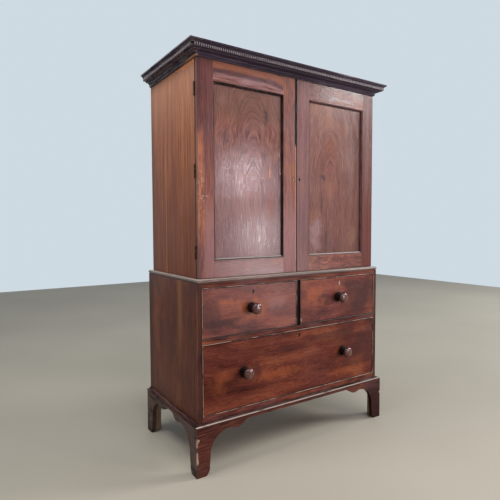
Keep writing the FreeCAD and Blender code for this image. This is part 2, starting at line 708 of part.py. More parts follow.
def make_cupboard():
    side = box(-UPPER_HALF, -UPPER_INSIDE, UPPER_FRONT, UPPER_BACK, CHEST_TOP, UPPER_TOP)
    for height in HINGE_HEIGHTS:
        side = side.cut(hinge_notch(height)).cut(leaf_recess(height, UPPER_FRONT, 1))
    save("upper_sides", both(side))
    case_leaves = [case_leaf(height) for height in HINGE_HEIGHTS]
    save("case_hinges", case_leaves + [flip(leaf) for leaf in case_leaves])

    inner_back = UPPER_BACK - BACK_BOARD
    top = box(-UPPER_INSIDE, UPPER_INSIDE, UPPER_FRONT, inner_back, UPPER_CEILING, UPPER_TOP)
    bottom = box(-UPPER_INSIDE, UPPER_INSIDE, UPPER_FRONT, inner_back, CHEST_TOP, UPPER_FLOOR)
    socket = BAR_TRAVEL - BAR_CLEAR + BAR_SOCKET_SPARE
    save("upper_top", [top.cut(bolt_bar(UPPER_CEILING - 1, UPPER_CEILING + socket, BOLT_PLAY))])
    save("upper_bottom", [bottom.cut(bolt_bar(UPPER_FLOOR - socket, UPPER_FLOOR + 1, BOLT_PLAY))])

    step = 2 * UPPER_INSIDE / UPPER_BACK_BOARDS
    backs = []
    for index in range(UPPER_BACK_BOARDS):
        low = -UPPER_INSIDE + index * step
        high = low + step - (BOARD_JOINT if index < UPPER_BACK_BOARDS - 1 else 0)
        backs.append(box(low, high, inner_back, UPPER_BACK, CHEST_TOP, UPPER_TOP))
    save("upper_back", backs)


def tray_front_moves(low):
    """Front of a tray, with a hand dip in its upper edge."""
    edge = UPPER_INSIDE - TRAY_SIDE_GAP
    high = low + TRAY_HEIGHT
    dip = TRAY_DIP_WIDTH / 2
    return [
        (-edge, low),
        (edge, low),
        (edge, high),
        (dip, high),
        (dip - TRAY_DIP_CURVE, high - TRAY_DIP, DIP_BEND),
        (TRAY_DIP_CURVE - dip, high - TRAY_DIP),
        (-dip, high, DIP_BEND),
        (-edge, high),
    ]


def make_trays():
    edge = UPPER_INSIDE - TRAY_SIDE_GAP
    front = UPPER_FRONT + TRAY_SETBACK
    back = UPPER_BACK - BACK_BOARD - TRAY_BACK_GAP
    pitch = (UPPER_CEILING - UPPER_FLOOR) / TRAY_COUNT
    runners = []
    for index in range(TRAY_COUNT):
        low = UPPER_FLOOR + FIRST_TRAY + index * pitch
        high = low + TRAY_HEIGHT
        side = box(-edge, -edge + TRAY_BOARD, front + TRAY_BOARD, back, low, high)
        rear = box(-edge + TRAY_BOARD, edge - TRAY_BOARD, back - TRAY_BOARD, back, low, high)
        floor = box(-edge + TRAY_BOARD, edge - TRAY_BOARD, front + TRAY_BOARD, back - TRAY_BOARD,
                    low, low + TRAY_BOTTOM)
        face = front_slab(tray_front_moves(low), front, front + TRAY_BOARD)
        save("tray_" + str(index + 1), [face, rear, floor] + both(side))
        runner = box(-UPPER_INSIDE, -UPPER_INSIDE + TRAY_RUNNER + TRAY_SIDE_GAP, front,
                     UPPER_BACK - BACK_BOARD, low - RUN_GAP - TRAY_RUNNER, low - RUN_GAP)
        runners += both(runner)
    save("tray_runners", runners)


# ---------------------------------------------------------------- hinges

HINGE_X = -UPPER_HALF - HINGE_OUTSET
HINGE_Y = DOOR_BACK + DOOR_BACK_GAP / 2


def hinge_notch(height):
    """Small rebate in a wooden corner that gives the knuckles room."""
    low = DOOR_LOW + height - HINGE_LENGTH / 2 - KNUCKLE_NOTCH
    room = KNUCKLE_RADIUS + KNUCKLE_NOTCH
    return box(HINGE_X - room, HINGE_X + room, HINGE_Y - room, HINGE_Y + room,
               low, low + HINGE_LENGTH + 2 * KNUCKLE_NOTCH)


def leaf_recess(height, face, way):
    """Shallow recess for a hinge leaf; way is +1 into the case and -1 into the door."""
    low = DOOR_LOW + height - HINGE_LENGTH / 2
    depth = sorted((face - way * DOOR_BACK_GAP / 2, face + way * HINGE_LEAF_THICK))
    return box(-UPPER_HALF - 1, -UPPER_HALF + HINGE_LEAF, depth[0], depth[1], low, low + HINGE_LENGTH)


def hinge_leaf(height, face, way, first):
    """Leaf of a butt hinge with every other knuckle, starting at knuckle number first."""
    low = DOOR_LOW + height - HINGE_LENGTH / 2
    depth = sorted((face, face + way * HINGE_LEAF_THICK))
    plate_edge = HINGE_X + KNUCKLE_RADIUS + KNUCKLE_NOTCH
    leaf = box(plate_edge, -UPPER_HALF + HINGE_LEAF, depth[0], depth[1], low, low + HINGE_LENGTH)
    step = HINGE_LENGTH / KNUCKLE_COUNT
    for index in range(first, KNUCKLE_COUNT, 2):
        knuckle_low = low + index * step + KNUCKLE_GAP / 2
        knuckle_high = low + (index + 1) * step - KNUCKLE_GAP / 2
        tongue = box(HINGE_X, plate_edge, depth[0], depth[1], knuckle_low, knuckle_high)
        leaf = leaf.fuse([tongue, upright_rod(HINGE_X, HINGE_Y, knuckle_low, knuckle_high, KNUCKLE_RADIUS)])
    return leaf


def case_leaf(height):
    """Leaf on the case, with the hinge pin riveted into its two knuckles."""
    low = DOOR_LOW + height - HINGE_LENGTH / 2
    pin = upright_rod(HINGE_X, HINGE_Y, low + KNUCKLE_GAP, low + HINGE_LENGTH - KNUCKLE_GAP, PIN_RADIUS)
    return hinge_leaf(height, UPPER_FRONT, 1, 0).fuse(pin).removeSplitter()


def door_leaf(height):
    """Leaf on the door, with one knuckle bored to turn on the pin."""
    low = DOOR_LOW + height - HINGE_LENGTH / 2
    bore = upright_rod(HINGE_X, HINGE_Y, low, low + HINGE_LENGTH, PIN_RADIUS + PIN_PLAY)
    return hinge_leaf(height, DOOR_BACK, -1, 1).cut(bore).removeSplitter()


# ---------------------------------------------------------------- doors

def bolt_bar(low, high, play=0.0):
    """Flat bar of a door bolt, or with play the slot that it slides in."""
    back = DOOR_BACK + BOLT_PLATE_THICK + BAR_PLAY
    return box(-BAR_INSET - BAR_WIDTH / 2 - play, -BAR_INSET + BAR_WIDTH / 2 + play,
               back - play, back + BAR_THICK + play, low, high)


def door_wood():
    """Stiles, rails, panel and moulding of the left door."""
    outer_in = -UPPER_HALF + STILE
    inner_in = -DOOR_EDGE - STILE
    outer = box(-UPPER_HALF, outer_in, DOOR_SETBACK, DOOR_BACK, DOOR_LOW, DOOR_HIGH)
    inner = box(inner_in, -DOOR_EDGE, DOOR_SETBACK, DOOR_BACK, DOOR_LOW, DOOR_HIGH)
    tenon_low = (DOOR_SETBACK + DOOR_BACK - TENON) / 2
    rails = []
    for low, high in ((DOOR_LOW, PANEL_LOW), (PANEL_HIGH, DOOR_HIGH)):
        rail = box(outer_in, inner_in, DOOR_SETBACK, DOOR_BACK, low, high)
        tenons = box(outer_in - TENON_LENGTH, inner_in + TENON_LENGTH, tenon_low, tenon_low + TENON,
                     low + TENON_SHOULDER, high - TENON_SHOULDER)
        outer = outer.cut(tenons)
        inner = inner.cut(tenons)
        rails.append(rail.fuse(tenons).removeSplitter())
    panel_front = DOOR_SETBACK + PANEL_RECESS
    panel = box(outer_in - PANEL_TONGUE, inner_in + PANEL_TONGUE, panel_front, panel_front + PANEL_THICK,
                PANEL_LOW - PANEL_TONGUE, PANEL_HIGH + PANEL_TONGUE)
    play = PANEL_TONGUE + PANEL_PLAY
    groove = box(outer_in - play, inner_in + play, panel_front, panel_front + PANEL_THICK,
                 PANEL_LOW - play, PANEL_HIGH + play)
    rails = [rail.cut(groove) for rail in rails]
    outer = outer.cut(groove)
    inner = inner.cut(groove)
    for height in HINGE_HEIGHTS:
        outer = outer.cut(hinge_notch(height)).cut(leaf_recess(height, DOOR_BACK, -1))
    face = DOOR_SETBACK + PANEL_MOULD_SINK
    moulding = frame_strips(outer_in, inner_in, PANEL_LOW, PANEL_HIGH, [
        (0, panel_front),
        (0, face),
        (PANEL_MOULD_STEP, face),
        (PANEL_MOULD_STEP, face + PANEL_MOULD_STEP),
        (PANEL_MOULD_WIDTH, panel_front - PANEL_MOULD_STEP, PANEL_ROUND),
        (PANEL_MOULD_WIDTH, panel_front),
    ])
    return outer, inner, rails, panel, moulding


def make_left_door():
    outer, inner, rails, panel, moulding = door_wood()
    key_x = -DOOR_EDGE - DOOR_KEYHOLE_INSET
    blind_back = DOOR_SETBACK + BLIND_KEYHOLE_DEPTH
    inner = inner.cut(keyhole(key_x, KEYHOLE_HEIGHT, DOOR_SETBACK - 1, blind_back, BLIND_KEYHOLE_WALL))
    half = LOCK_BOLT_WIDTH / 2 + BOLT_PLAY
    mortise = box(-DOOR_EDGE - DOOR_BOLT_THROW + DOOR_SEAM - BOLT_PLAY, -DOOR_EDGE + 1,
                  lock_bolt_back() - LOCK_BOLT_THICK - BOLT_PLAY, lock_bolt_back() + BOLT_PLAY,
                  KEYHOLE_HEIGHT - half, KEYHOLE_HEIGHT + half)
    inner = inner.cut(mortise)
    save("left_door_stiles", [outer, inner])
    save("left_door_rails", rails)
    save("left_door_panel", [panel])
    save("left_door_moulding", moulding)
    save("left_door_hinges", [door_leaf(height) for height in HINGE_HEIGHTS])

    top_low = UPPER_CEILING - BAR_CLEAR - BAR_LENGTH
    bottom_low = UPPER_FLOOR + BAR_CLEAR
    plates = []
    for name, low in (("top", top_low), ("bottom", bottom_low)):
        bolt, plate = make_door_bolt(low)
        save("left_door_" + name + "_bolt", [bolt])
        plates.append(plate)
    save("left_door_bolt_plates", plates)


def make_door_bolt(low):
    """Flat bolt on the back of the door: a bar with a thumb piece, and its plate with two keepers."""
    bar = bolt_bar(low, low + BAR_LENGTH)
    middle = low + BAR_LENGTH / 2
    bar_back = DOOR_BACK + BOLT_PLATE_THICK + BAR_PLAY + BAR_THICK
    thumb = box(-BAR_INSET - THUMB_WIDTH / 2, -BAR_INSET + THUMB_WIDTH / 2, bar_back - BAR_THICK / 2,
                bar_back + THUMB_PROUD, middle - THUMB_HEIGHT / 2, middle + THUMB_HEIGHT / 2)
    reach = BAR_LENGTH / 2 - BAR_TRAVEL
    plate = box(-BAR_INSET - BOLT_PLATE_WIDTH / 2, -BAR_INSET + BOLT_PLATE_WIDTH / 2, DOOR_BACK,
                DOOR_BACK + BOLT_PLATE_THICK, middle - reach, middle + reach)
    keeper_half = BAR_WIDTH / 2 + BAR_PLAY + KEEPER_WALL
    for keeper_low in (middle - reach, middle + reach - KEEPER_HEIGHT):
        keeper = box(-BAR_INSET - keeper_half, -BAR_INSET + keeper_half, DOOR_BACK + BOLT_PLATE_THICK,
                     bar_back + BAR_PLAY + KEEPER_WALL, keeper_low, keeper_low + KEEPER_HEIGHT)
        plate = plate.fuse(keeper)
    plate = plate.cut(bolt_bar(low, low + BAR_LENGTH, BAR_PLAY))
    return bar.fuse(thumb).removeSplitter(), plate.removeSplitter()


def lock_bolt_back():
    """Back face of the right door's lock bolt."""
    return DOOR_BACK - (LOCK_THICK - LOCK_BOLT_THICK) / 2


def make_right_door():
    outer, inner, rails, panel, moulding = [
        [flip(piece) for piece in part] if isinstance(part, list) else flip(part) for part in door_wood()]
    key_x = DOOR_EDGE + DOOR_KEYHOLE_INSET
    lock_case = box(DOOR_EDGE, DOOR_EDGE + DOOR_LOCK_WIDTH, DOOR_BACK - LOCK_THICK, DOOR_BACK,
                    KEYHOLE_HEIGHT - DOOR_LOCK_HEIGHT / 2, KEYHOLE_HEIGHT + DOOR_LOCK_HEIGHT / 2)
    back = lock_bolt_back()
    half = LOCK_BOLT_WIDTH / 2
    bolt = box(DOOR_EDGE + LOCK_BOLT_SINK, DOOR_EDGE + LOCK_BOLT_SINK + LOCK_BOLT_LENGTH,
               back - LOCK_BOLT_THICK, back, KEYHOLE_HEIGHT - half, KEYHOLE_HEIGHT + half)
    bolt_way = box(DOOR_EDGE - 1, DOOR_EDGE + LOCK_BOLT_SINK + LOCK_BOLT_LENGTH + RUN_GAP,
                   back - LOCK_BOLT_THICK - RUN_GAP, back + RUN_GAP,
                   KEYHOLE_HEIGHT - half - RUN_GAP, KEYHOLE_HEIGHT + half + RUN_GAP)
    inner = inner.cut(lock_case).cut(keyhole(key_x, KEYHOLE_HEIGHT, DOOR_SETBACK - 1, DOOR_BACK - LOCK_THICK))
    save("right_door_stiles", [outer, inner])
    save("right_door_rails", rails)
    save("right_door_panel", [panel])
    save("right_door_moulding", moulding)
    save("right_door_hinges", [flip(door_leaf(height)) for height in HINGE_HEIGHTS])
    save("right_door_lock", [lock_case.cut(bolt_way)])
    save("right_door_lock_bolt", [bolt])


# ---------------------------------------------------------------- cornice

def cornice_profile(inner):
    """Section of the cornice from its lowest fillet to the top lip, in (out, up) pairs."""
    low = UPPER_TOP
    base = low + DENTIL_BASE
    crown = base + DENTIL_HEIGHT
    lip = CORNICE_REACH - CROWN_LIP
    cove_top = crown + DENTIL_LEDGE + CROWN_COVE
    return [
        (-inner, low),
        (CORNICE_FILLET[0], low),
        (CORNICE_FILLET[0], low + CORNICE_FILLET[1]),
        (CORNICE_ASTRAGAL[0], low + CORNICE_FILLET[1]),
        (CORNICE_ASTRAGAL[0], low + CORNICE_ASTRAGAL[1], ROUND),
        (CORNICE_STEP[0], low + CORNICE_ASTRAGAL[1]),
        (CORNICE_STEP[0], low + CORNICE_STEP[1]),
        (CORNICE_COVE[0], low + CORNICE_COVE[1], HOLLOW),
        (CORNICE_BEAD[0], low + CORNICE_COVE[1]),
        (CORNICE_BEAD[0], low + CORNICE_BEAD[1], HALF_ROUND),
        (CORNICE_SOFFIT, low + CORNICE_BEAD[1]),
        (CORNICE_SOFFIT, base - DENTIL_LEDGE),
        (DENTIL_BACK + DENTIL_LEDGE, base - DENTIL_LEDGE),
        (DENTIL_BACK + DENTIL_LEDGE, base),
        (DENTIL_BACK, base),
        (DENTIL_BACK, crown),
        (DENTIL_BACK + CROWN_FILLET, crown),
        (DENTIL_BACK + CROWN_FILLET, crown + DENTIL_LEDGE),
        (lip, cove_top, HOLLOW),
        (lip, cove_top + CROWN_BEAD, ROUND),
        (CORNICE_REACH, cove_top + CROWN_BEAD),
        (CORNICE_REACH, low + CORNICE_HEIGHT),
        (-inner, low + CORNICE_HEIGHT),
    ]


def tooth_starts(low, high):
    """Places of the dentils along a run, spread evenly about its middle."""
    count = int((high - low - DENTIL_PITCH) / DENTIL_PITCH)
    first = (low + high - count * DENTIL_PITCH) / 2 + (DENTIL_PITCH - DENTIL_WIDTH) / 2
    return [first + index * DENTIL_PITCH for index in range(count)]


def make_dentils():
    """Toothed strips let into the flat band of the cornice, each sawn like a comb."""
    low = UPPER_TOP + DENTIL_BASE
    high = low + DENTIL_HEIGHT
    root = DENTIL_BACK + DENTIL_STRIP
    tip = DENTIL_BACK + DENTIL_DEPTH
    side_line = UPPER_HALF
    front_line = DOOR_SETBACK

    corner = side_line + root
    moves = [(-side_line - DENTIL_BACK, front_line - DENTIL_BACK), (-corner, front_line - root)]
    for start in tooth_starts(-corner, corner):
        end = start + DENTIL_WIDTH
        for x, out in ((start, root), (start, tip), (end, tip), (end, root)):
            moves.append((x, front_line - out))
    moves += [(corner, front_line - root), (side_line + DENTIL_BACK, front_line - DENTIL_BACK)]
    front = plan_slab(moves, low, high)

    moves = [(-side_line - DENTIL_BACK, front_line - DENTIL_BACK), (-corner, front_line - root)]
    for start in tooth_starts(front_line - root, UPPER_BACK):
        end = start + DENTIL_WIDTH
        for y, out in ((start, root), (start, tip), (end, tip), (end, root)):
            moves.append((-side_line - out, y))
    moves += [(-corner, UPPER_BACK), (-side_line - DENTIL_BACK, UPPER_BACK)]
    save("dentil_strips", [front] + both(plan_slab(moves, low, high)))


def make_cornice():
    save("cornice_moulding", mitred_lengths(cornice_profile, UPPER_HALF, DOOR_SETBACK, UPPER_BACK, 0, 0))
    make_dentils()
    top = UPPER_TOP + CORNICE_FRAME_HEIGHT
    inner = UPPER_HALF - CORNICE_FRAME
    front_in = DOOR_SETBACK + CORNICE_FRAME
    front = box(-UPPER_HALF, UPPER_HALF, DOOR_SETBACK, front_in, UPPER_TOP, top)
    side = box(-UPPER_HALF, -inner, front_in, UPPER_BACK, UPPER_TOP, top)
    back = box(-inner, inner, UPPER_BACK - CORNICE_FRAME, UPPER_BACK, UPPER_TOP, top)
    save("cornice_frame", [front, back] + both(side))


# ---------------------------------------------------------------- the whole press

def main():
    os.makedirs("parts", exist_ok=True)
    make_base()
    save("plinth_moulding", mitred_lengths(base_mould, HALF, 0, CHEST_DEPTH, 0, 0))
    make_chest()
    for drawer in DRAWERS:
        make_drawer(drawer)
    save("waist_moulding", mitred_lengths(waist_mould, HALF, 0, CHEST_DEPTH, CUPBOARD_INSET, UPPER_FRONT))
    make_cupboard()
    make_trays()
    make_left_door()
    make_right_door()
    make_cornice()
    print(len(ALL_NODES), "nodes written")


main()
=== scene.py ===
# %% [markdown]
# # An old linen press in mahogany
# A linen press is a cupboard for folded sheets that stands on a chest of drawers. Its joinery
# comes ready made as a frame of separate pieces, and this notebook gives every surface its
# finish and models the few pieces whose real curves the frame only sketches. Loading the frame
# first, and never moving it, keeps every size and every hinge true.

# %% Load the frame
import math

import bpy
from mathutils import Matrix, Vector


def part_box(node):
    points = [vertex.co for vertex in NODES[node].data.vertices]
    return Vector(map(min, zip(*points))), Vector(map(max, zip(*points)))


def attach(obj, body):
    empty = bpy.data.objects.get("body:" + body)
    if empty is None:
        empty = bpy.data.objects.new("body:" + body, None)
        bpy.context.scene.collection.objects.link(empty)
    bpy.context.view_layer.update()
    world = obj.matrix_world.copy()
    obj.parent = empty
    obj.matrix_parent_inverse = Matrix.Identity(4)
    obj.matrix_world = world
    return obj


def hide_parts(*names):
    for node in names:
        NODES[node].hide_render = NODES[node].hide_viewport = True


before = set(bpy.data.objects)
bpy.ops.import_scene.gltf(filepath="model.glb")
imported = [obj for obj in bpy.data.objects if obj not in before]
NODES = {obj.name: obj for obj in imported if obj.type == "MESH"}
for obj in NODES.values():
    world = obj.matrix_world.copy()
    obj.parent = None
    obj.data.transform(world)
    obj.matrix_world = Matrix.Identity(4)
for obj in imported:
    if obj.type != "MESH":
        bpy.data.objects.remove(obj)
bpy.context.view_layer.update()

# %% [markdown]
# ## Where things are
# A finish such as a rubbed corner needs that corner's place. Places could be typed in, but
# reading them from the frame's boxes keeps them right when a size changes. X runs to the right,
# Y to the back and Z up, in metres.

# %% Read the main places
CHEST_LOW, CHEST_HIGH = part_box("lower_sides")
CASE_LOW, CASE_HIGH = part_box("upper_sides")
BASE_LOW, BASE_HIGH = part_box("plinth_front")
LEFT_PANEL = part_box("left_door_panel")
RIGHT_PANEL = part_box("right_door_panel")
LEFT_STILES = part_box("left_door_stiles")
RIGHT_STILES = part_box("right_door_stiles")
DOOR_FACE = LEFT_STILES[0].y
DOOR_BACK = LEFT_STILES[1].y
DRAWER_FACE = CHEST_LOW.y
print("chest", [round(v, 3) for v in (*CHEST_LOW, *CHEST_HIGH)], "door face", round(DOOR_FACE, 4))

# %% [markdown]
# ## The camera
# The view is a three-quarter one from the left at chest height, with a fairly wide lens. A
# constraint could aim it, but three plain turns say how a person would hold it.

# %% Set up the camera
CAMERA_PLACE = (-1.5189, -2.0951, 1.1598)
CAMERA_SWING = -33.53
CAMERA_TILT = -3.01
CAMERA_LEAN = -0.22
CAMERA_LENS = 32.234

data = bpy.data.cameras.new("view_camera")
data.lens = CAMERA_LENS
data.sensor_width = 36
camera = bpy.data.objects.new("view_camera", data)
bpy.context.scene.collection.objects.link(camera)
turn = Matrix.Identity(4)
for angle, axis in ((CAMERA_SWING, "Z"), (90 + CAMERA_TILT, "X"), (CAMERA_LEAN, "Z")):
    turn = turn @ Matrix.Rotation(math.radians(angle), 4, axis)
camera.matrix_world = Matrix.Translation(CAMERA_PLACE) @ turn
bpy.context.scene.camera = camera
print("camera at", CAMERA_PLACE)

# %% [markdown]
# ## Values that do sums
# Every finish is a small network of shader nodes, and most of them only do arithmetic. Wiring
# each by hand hides the sum, so a small class stands for a node's output and answers to plain
# signs: adding two of them adds a Math node. Two soft steps come with it, a rise from 0 to 1 and
# a band that fades on both sides.

# %% Values
class Value:
    """A node's output. Plain arithmetic on it adds the nodes that work it out."""

    def __init__(self, bench, socket):
        self.bench = bench
        self.socket = socket

    def __add__(self, other):
        return self.bench.sum("ADD", self, other)

    def __sub__(self, other):
        return self.bench.sum("SUBTRACT", self, other)

    def __rsub__(self, other):
        return self.bench.sum("SUBTRACT", other, self)

    def __mul__(self, other):
        return self.bench.sum("MULTIPLY", self, other)

    def __truediv__(self, other):
        return self.bench.sum("DIVIDE", self, other)

    def __abs__(self):
        return self.bench.sum("ABSOLUTE", self)

    __radd__ = __add__

    def rise(self, start, end):
        """Goes smoothly from 0 at start to 1 at end; end may be the smaller one."""
        feeds = {"Value": self, "From Min": min(start, end), "From Max": max(start, end),
                 "To Min": float(start > end), "To Max": float(start < end)}
        return self.bench.add("MapRange", feeds, "Result", interpolation_type="SMOOTHSTEP")

    def within(self, low, high, soft):
        """Near 1 between low and high, fading over soft on both sides."""
        return self.rise(low - soft, low) * self.rise(high + soft, high)


print("values ready")

# %% [markdown]
# ## A bench for building materials
# One helper holds a material while it is made, with the colour so far and short verbs: fetch a
# noise, lay a stain, find the edges, finish. Positions are object coordinates, which here are
# metres in the frame, so grain keeps its real scale and moves with a door when it opens.

# %% The material bench
ARRIS_RADIUS = 0.0012


class Bench:
    """One material in the making."""

    def __init__(self, name):
        self.material = bpy.data.materials.new(name)
        self.material.use_nodes = True
        self.tree = self.material.node_tree
        self.tree.nodes.clear()
        self.shader = self.tree.nodes.new("ShaderNodeBsdfPrincipled")
        output = self.tree.nodes.new("ShaderNodeOutputMaterial")
        self.tree.links.new(self.shader.outputs["BSDF"], output.inputs["Surface"])
        self.place = self.split(self.add("TexCoord", out="Object"))
        self.colour = None

    def add(self, kind, feeds=None, out=0, **settings):
        """Adds a shader node and gives back one of its outputs."""
        node = self.tree.nodes.new("ShaderNode" + kind)
        for key, value in settings.items():
            setattr(node, key, value)
        for key, value in (feeds or {}).items():
            self.feed(node.inputs[key], value)
        return Value(self, node.outputs[out])

    def feed(self, socket, value):
        """Joins another node's output, or sets a plain number or colour on the socket."""
        if isinstance(value, Value):
            self.tree.links.new(value.socket, socket)
        else:
            socket.default_value = (*value, 1.0) if socket.type == "RGBA" else value

    def sum(self, operation, a, b=0.0, clamp=False):
        """One step of arithmetic."""
        return self.add("Math", {0: a, 1: b}, operation=operation, use_clamp=clamp)

    def split(self, vector):
        """The three numbers of a vector."""
        node = self.add("SeparateXYZ", {0: vector}).socket.node
        return [Value(self, output) for output in node.outputs]

    def noise(self, x, y, z, detail):
        """Smooth noise, one unit to a patch."""
        vector = self.add("CombineXYZ", {0: x, 1: y, 2: z})
        feeds = {"Vector": vector, "Scale": 1.0, "Detail": detail, "Roughness": 0.5, "Distortion": 0.0}
        return self.add("TexNoise", feeds, "Fac")

    def patches(self, size, seed=0.0, detail=3.0, stretch=(1, 1, 1)):
        """Noise whose patches are about size metres across."""
        x, y, z = [axis * (1 / (size * k)) for axis, k in zip(self.place, stretch)]
        return self.noise(x, y + seed, z, detail)

    def spot(self, centre, reach, ragged):
        """Oval smudge on a front: 1 in the middle, 0 at its ragged rim."""
        across = (self.place[0] - centre[0]) / reach[0]
        up = (self.place[2] - centre[1]) / reach[1]
        rim = self.patches(min(reach) * 0.7, centre[1])
        far = self.sum("SQRT", across * across + up * up) + (rim - 0.5) * (ragged * 4)
        return far.rise(1.0, 0.2)

    def blend(self, factor, first, second):
        """Blend of two colours."""
        return self.add("Mix", {0: factor, 6: first, 7: second}, 2, data_type="RGBA")

    def choose(self, factor, first, second):
        """Blend of two plain values."""
        return self.add("Mix", {0: factor, 2: first, 3: second}, data_type="FLOAT")

    def stain(self, share, tone):
        """Lays a tone over the colour so far, by a share from 0 to 1."""
        self.colour = self.blend(share, self.colour, tone)

    def marks(self, table, ragged):
        """Stains a front with smudges of (x, z, half width, half height, share, tone)."""
        for x, z, across, up, share, tone in table:
            self.stain(self.spot((x, z), (across, up), ragged) * share, tone)

    def ramp(self, value, *stops):
        """Colour that runs through (place, colour) stops."""
        colour = self.add("ValToRGB", {0: value}, "Color")
        row = colour.socket.node.color_ramp.elements
        while len(row) < len(stops):
            row.new(0.5)
        for element, (place, tone) in zip(row, stops):
            element.position = place
            element.color = (*tone, 1.0)
        return colour

    def rounded(self, radius):
        """Normal that turns gently over each sharp edge."""
        return self.add("Bevel", {"Radius": radius}, samples=4)

    def arris(self, radius, gain=4.0):
        """Near 1 along sharp edges: where a rounded normal parts from the flat one."""
        flat = self.add("NewGeometry", out="True Normal")
        feeds = {0: self.rounded(radius), 1: flat}
        parted = 1.0 - self.add("VectorMath", feeds, "Value", operation="DOT_PRODUCT")
        return self.sum("MULTIPLY", parted, gain, clamp=True)

    def crevice(self, distance):
        """Near 1 in corners and quirks, from ambient occlusion: it marks old polish and dust, and paints the
        shade that falls there.
        """
        shade = self.add("AmbientOcclusion", {"Distance": distance}, "AO", samples=4)
        return shade.rise(0.85, 0.35)

    def ledge(self, start, end):
        """Near 1 on faces that look up: for dust and dusters, and for painting the light that falls from
        above.
        """
        return self.split(self.add("NewGeometry", out="True Normal"))[2].rise(start, end)

    def finish(self, roughness, height, bump, depth=0.0005, shine=0.5):
        """Joins colour, roughness and bump height to the shader."""
        feeds = {"Strength": bump, "Distance": depth, "Height": height, "Normal": self.rounded(ARRIS_RADIUS)}
        relief = self.add("Bump", feeds, "Normal")
        for name, value in (("Base Color", self.colour), ("Roughness", roughness), ("Normal", relief),
                            ("Specular IOR Level", shine)):
            self.feed(self.shader.inputs[name], value)
        return self.material


def dress(material, *names):
    """Gives pieces of the frame their finish."""
    for name in names:
        slots = NODES[name].data.materials
        if len(slots) == 0:
            slots.append(material)
        for index in range(len(slots)):
            slots[index] = material


print("bench ready")

# %% [markdown]
# ## Mahogany grain
# Mahogany shows slow clouds of colour, ribbon stripes where the grain weaves, thin dark lines,
# hair-fine fibres, and pores like short pen strokes. An image would repeat and blur; stretched
# noises give all of it at true scale. Bending the position before the noise reads it makes the
# figure flow, as in a plank from a curving trunk. On mouldings the grain turns at the mitre.

# %% Grain along a board
MITRE_X = CASE_HIGH.x
MITRE_Y = DOOR_FACE
ARCH_SLENDER = 0.27
BEND_SIZE = (0.2, 0.16)
DRIFT_SIZE = (0.6, 0.25)
CURL_SIZE = (0.14, 0.09)
LINE_SIZE = (0.4, 0.007)
TICK_SIZE = (0.07, 0.0045)
FIBRE_SIZE = (0.12, 0.0025)
PORE_SIZE = (0.012, 0.0011)


def grain_axes(bench, along):
    """Positions as (along the grain, across, across)."""
    x, y, z = bench.place
    if along == "x":
        return x, y, z
    if along == "y":
        return y, x, z
    if along == "z":
        return z, x, y
    on_side = bench.sum("GREATER_THAN", abs(x) - MITRE_X, MITRE_Y - y)
    return bench.choose(on_side, x, y), bench.choose(on_side, y, x), z


class Grain:
    """The noises of one kind of board. An arch bends the figure into tall arches above its root."""

    def __init__(self, bench, along, seed=0.0, ribbon=0.03, wander=0.012, length=0.5, swirl=0.0, arch=None):
        self.bench = bench
        self.axes = grain_axes(bench, along)
        if arch:
            a, b, c = self.axes
            bend = self.drift(BEND_SIZE, 0.02)
            side = b + bend - arch[0]
            climb = bench.sum("MAXIMUM", a + bend - arch[1], 0.0) * ARCH_SLENDER
            self.axes = (a, bench.sum("SQRT", side * side + climb * climb), c)
        a, b, c = self.axes
        self.axes = (a, b + seed, c)
        self.push(DRIFT_SIZE, wander)
        if swirl:
            self.push(CURL_SIZE, swirl)
        self.cloud = self.streaks((length, length * 0.35))
        self.ribbon = self.streaks((length * 1.6, ribbon))
        self.line = self.streaks(LINE_SIZE)
        self.tick = self.streaks(TICK_SIZE)
        self.fibre = self.streaks(FIBRE_SIZE)
        self.pores = self.streaks(PORE_SIZE, 1.0).rise(0.62, 0.72)

    def drift(self, size, reach):
        """Slow push across the grain, up to about reach metres either way."""
        return (self.streaks(size, 1.0) - 0.5) * (reach * 4)

    def push(self, size, reach):
        """Shifts both across-grain positions by one drift."""
        a, b, c = self.axes
        drift = self.drift(size, reach)
        self.axes = (a, b + drift, c + drift)

    def streaks(self, size, detail=2.0):
        """Noise of streaks that are size[0] metres long and size[1] across."""
        length, width = size
        places = [axis * (1 / reach) for axis, reach in zip(self.axes, (length, width, width))]
        return self.bench.noise(*places, detail)

    def colour(self, mix, tones):
        """Colour from the dark, middle and light tones, by shares for each of the five noises."""
        total = 0.5
        for noise, share in zip((self.cloud, self.ribbon, self.line, self.tick, self.fibre), mix):
            total = total + (noise - 0.5) * share
        return self.bench.ramp(total, *zip((0.3, 0.5, 0.7), tones))


print("grain ready, mitre at", round(MITRE_X, 3), round(MITRE_Y, 3))

# %% [markdown]
# ## Polish over the grain
# The old finish is shellac rubbed on with a pad. It tints the wood red and leaves a satin gloss
# that is never quite even. Where it has aged it blooms to a dull mauve, and where it wears thin
# the wood shows amber. One function darkens the pores, darkens the corners for grime and for
# painted shade, rubs the arrises to paler wood and lets the gloss vary, so all boards share one
# history.

# %% Polish
BLOOM_TONE = (0.21, 0.105, 0.115)
AMBER_TONE = (0.3, 0.105, 0.04)
# near black: grime, and also painted shade in seams, gaps, corners and under the knobs
GRIME_AND_SHADE_TONE = (0.01, 0.006, 0.005)


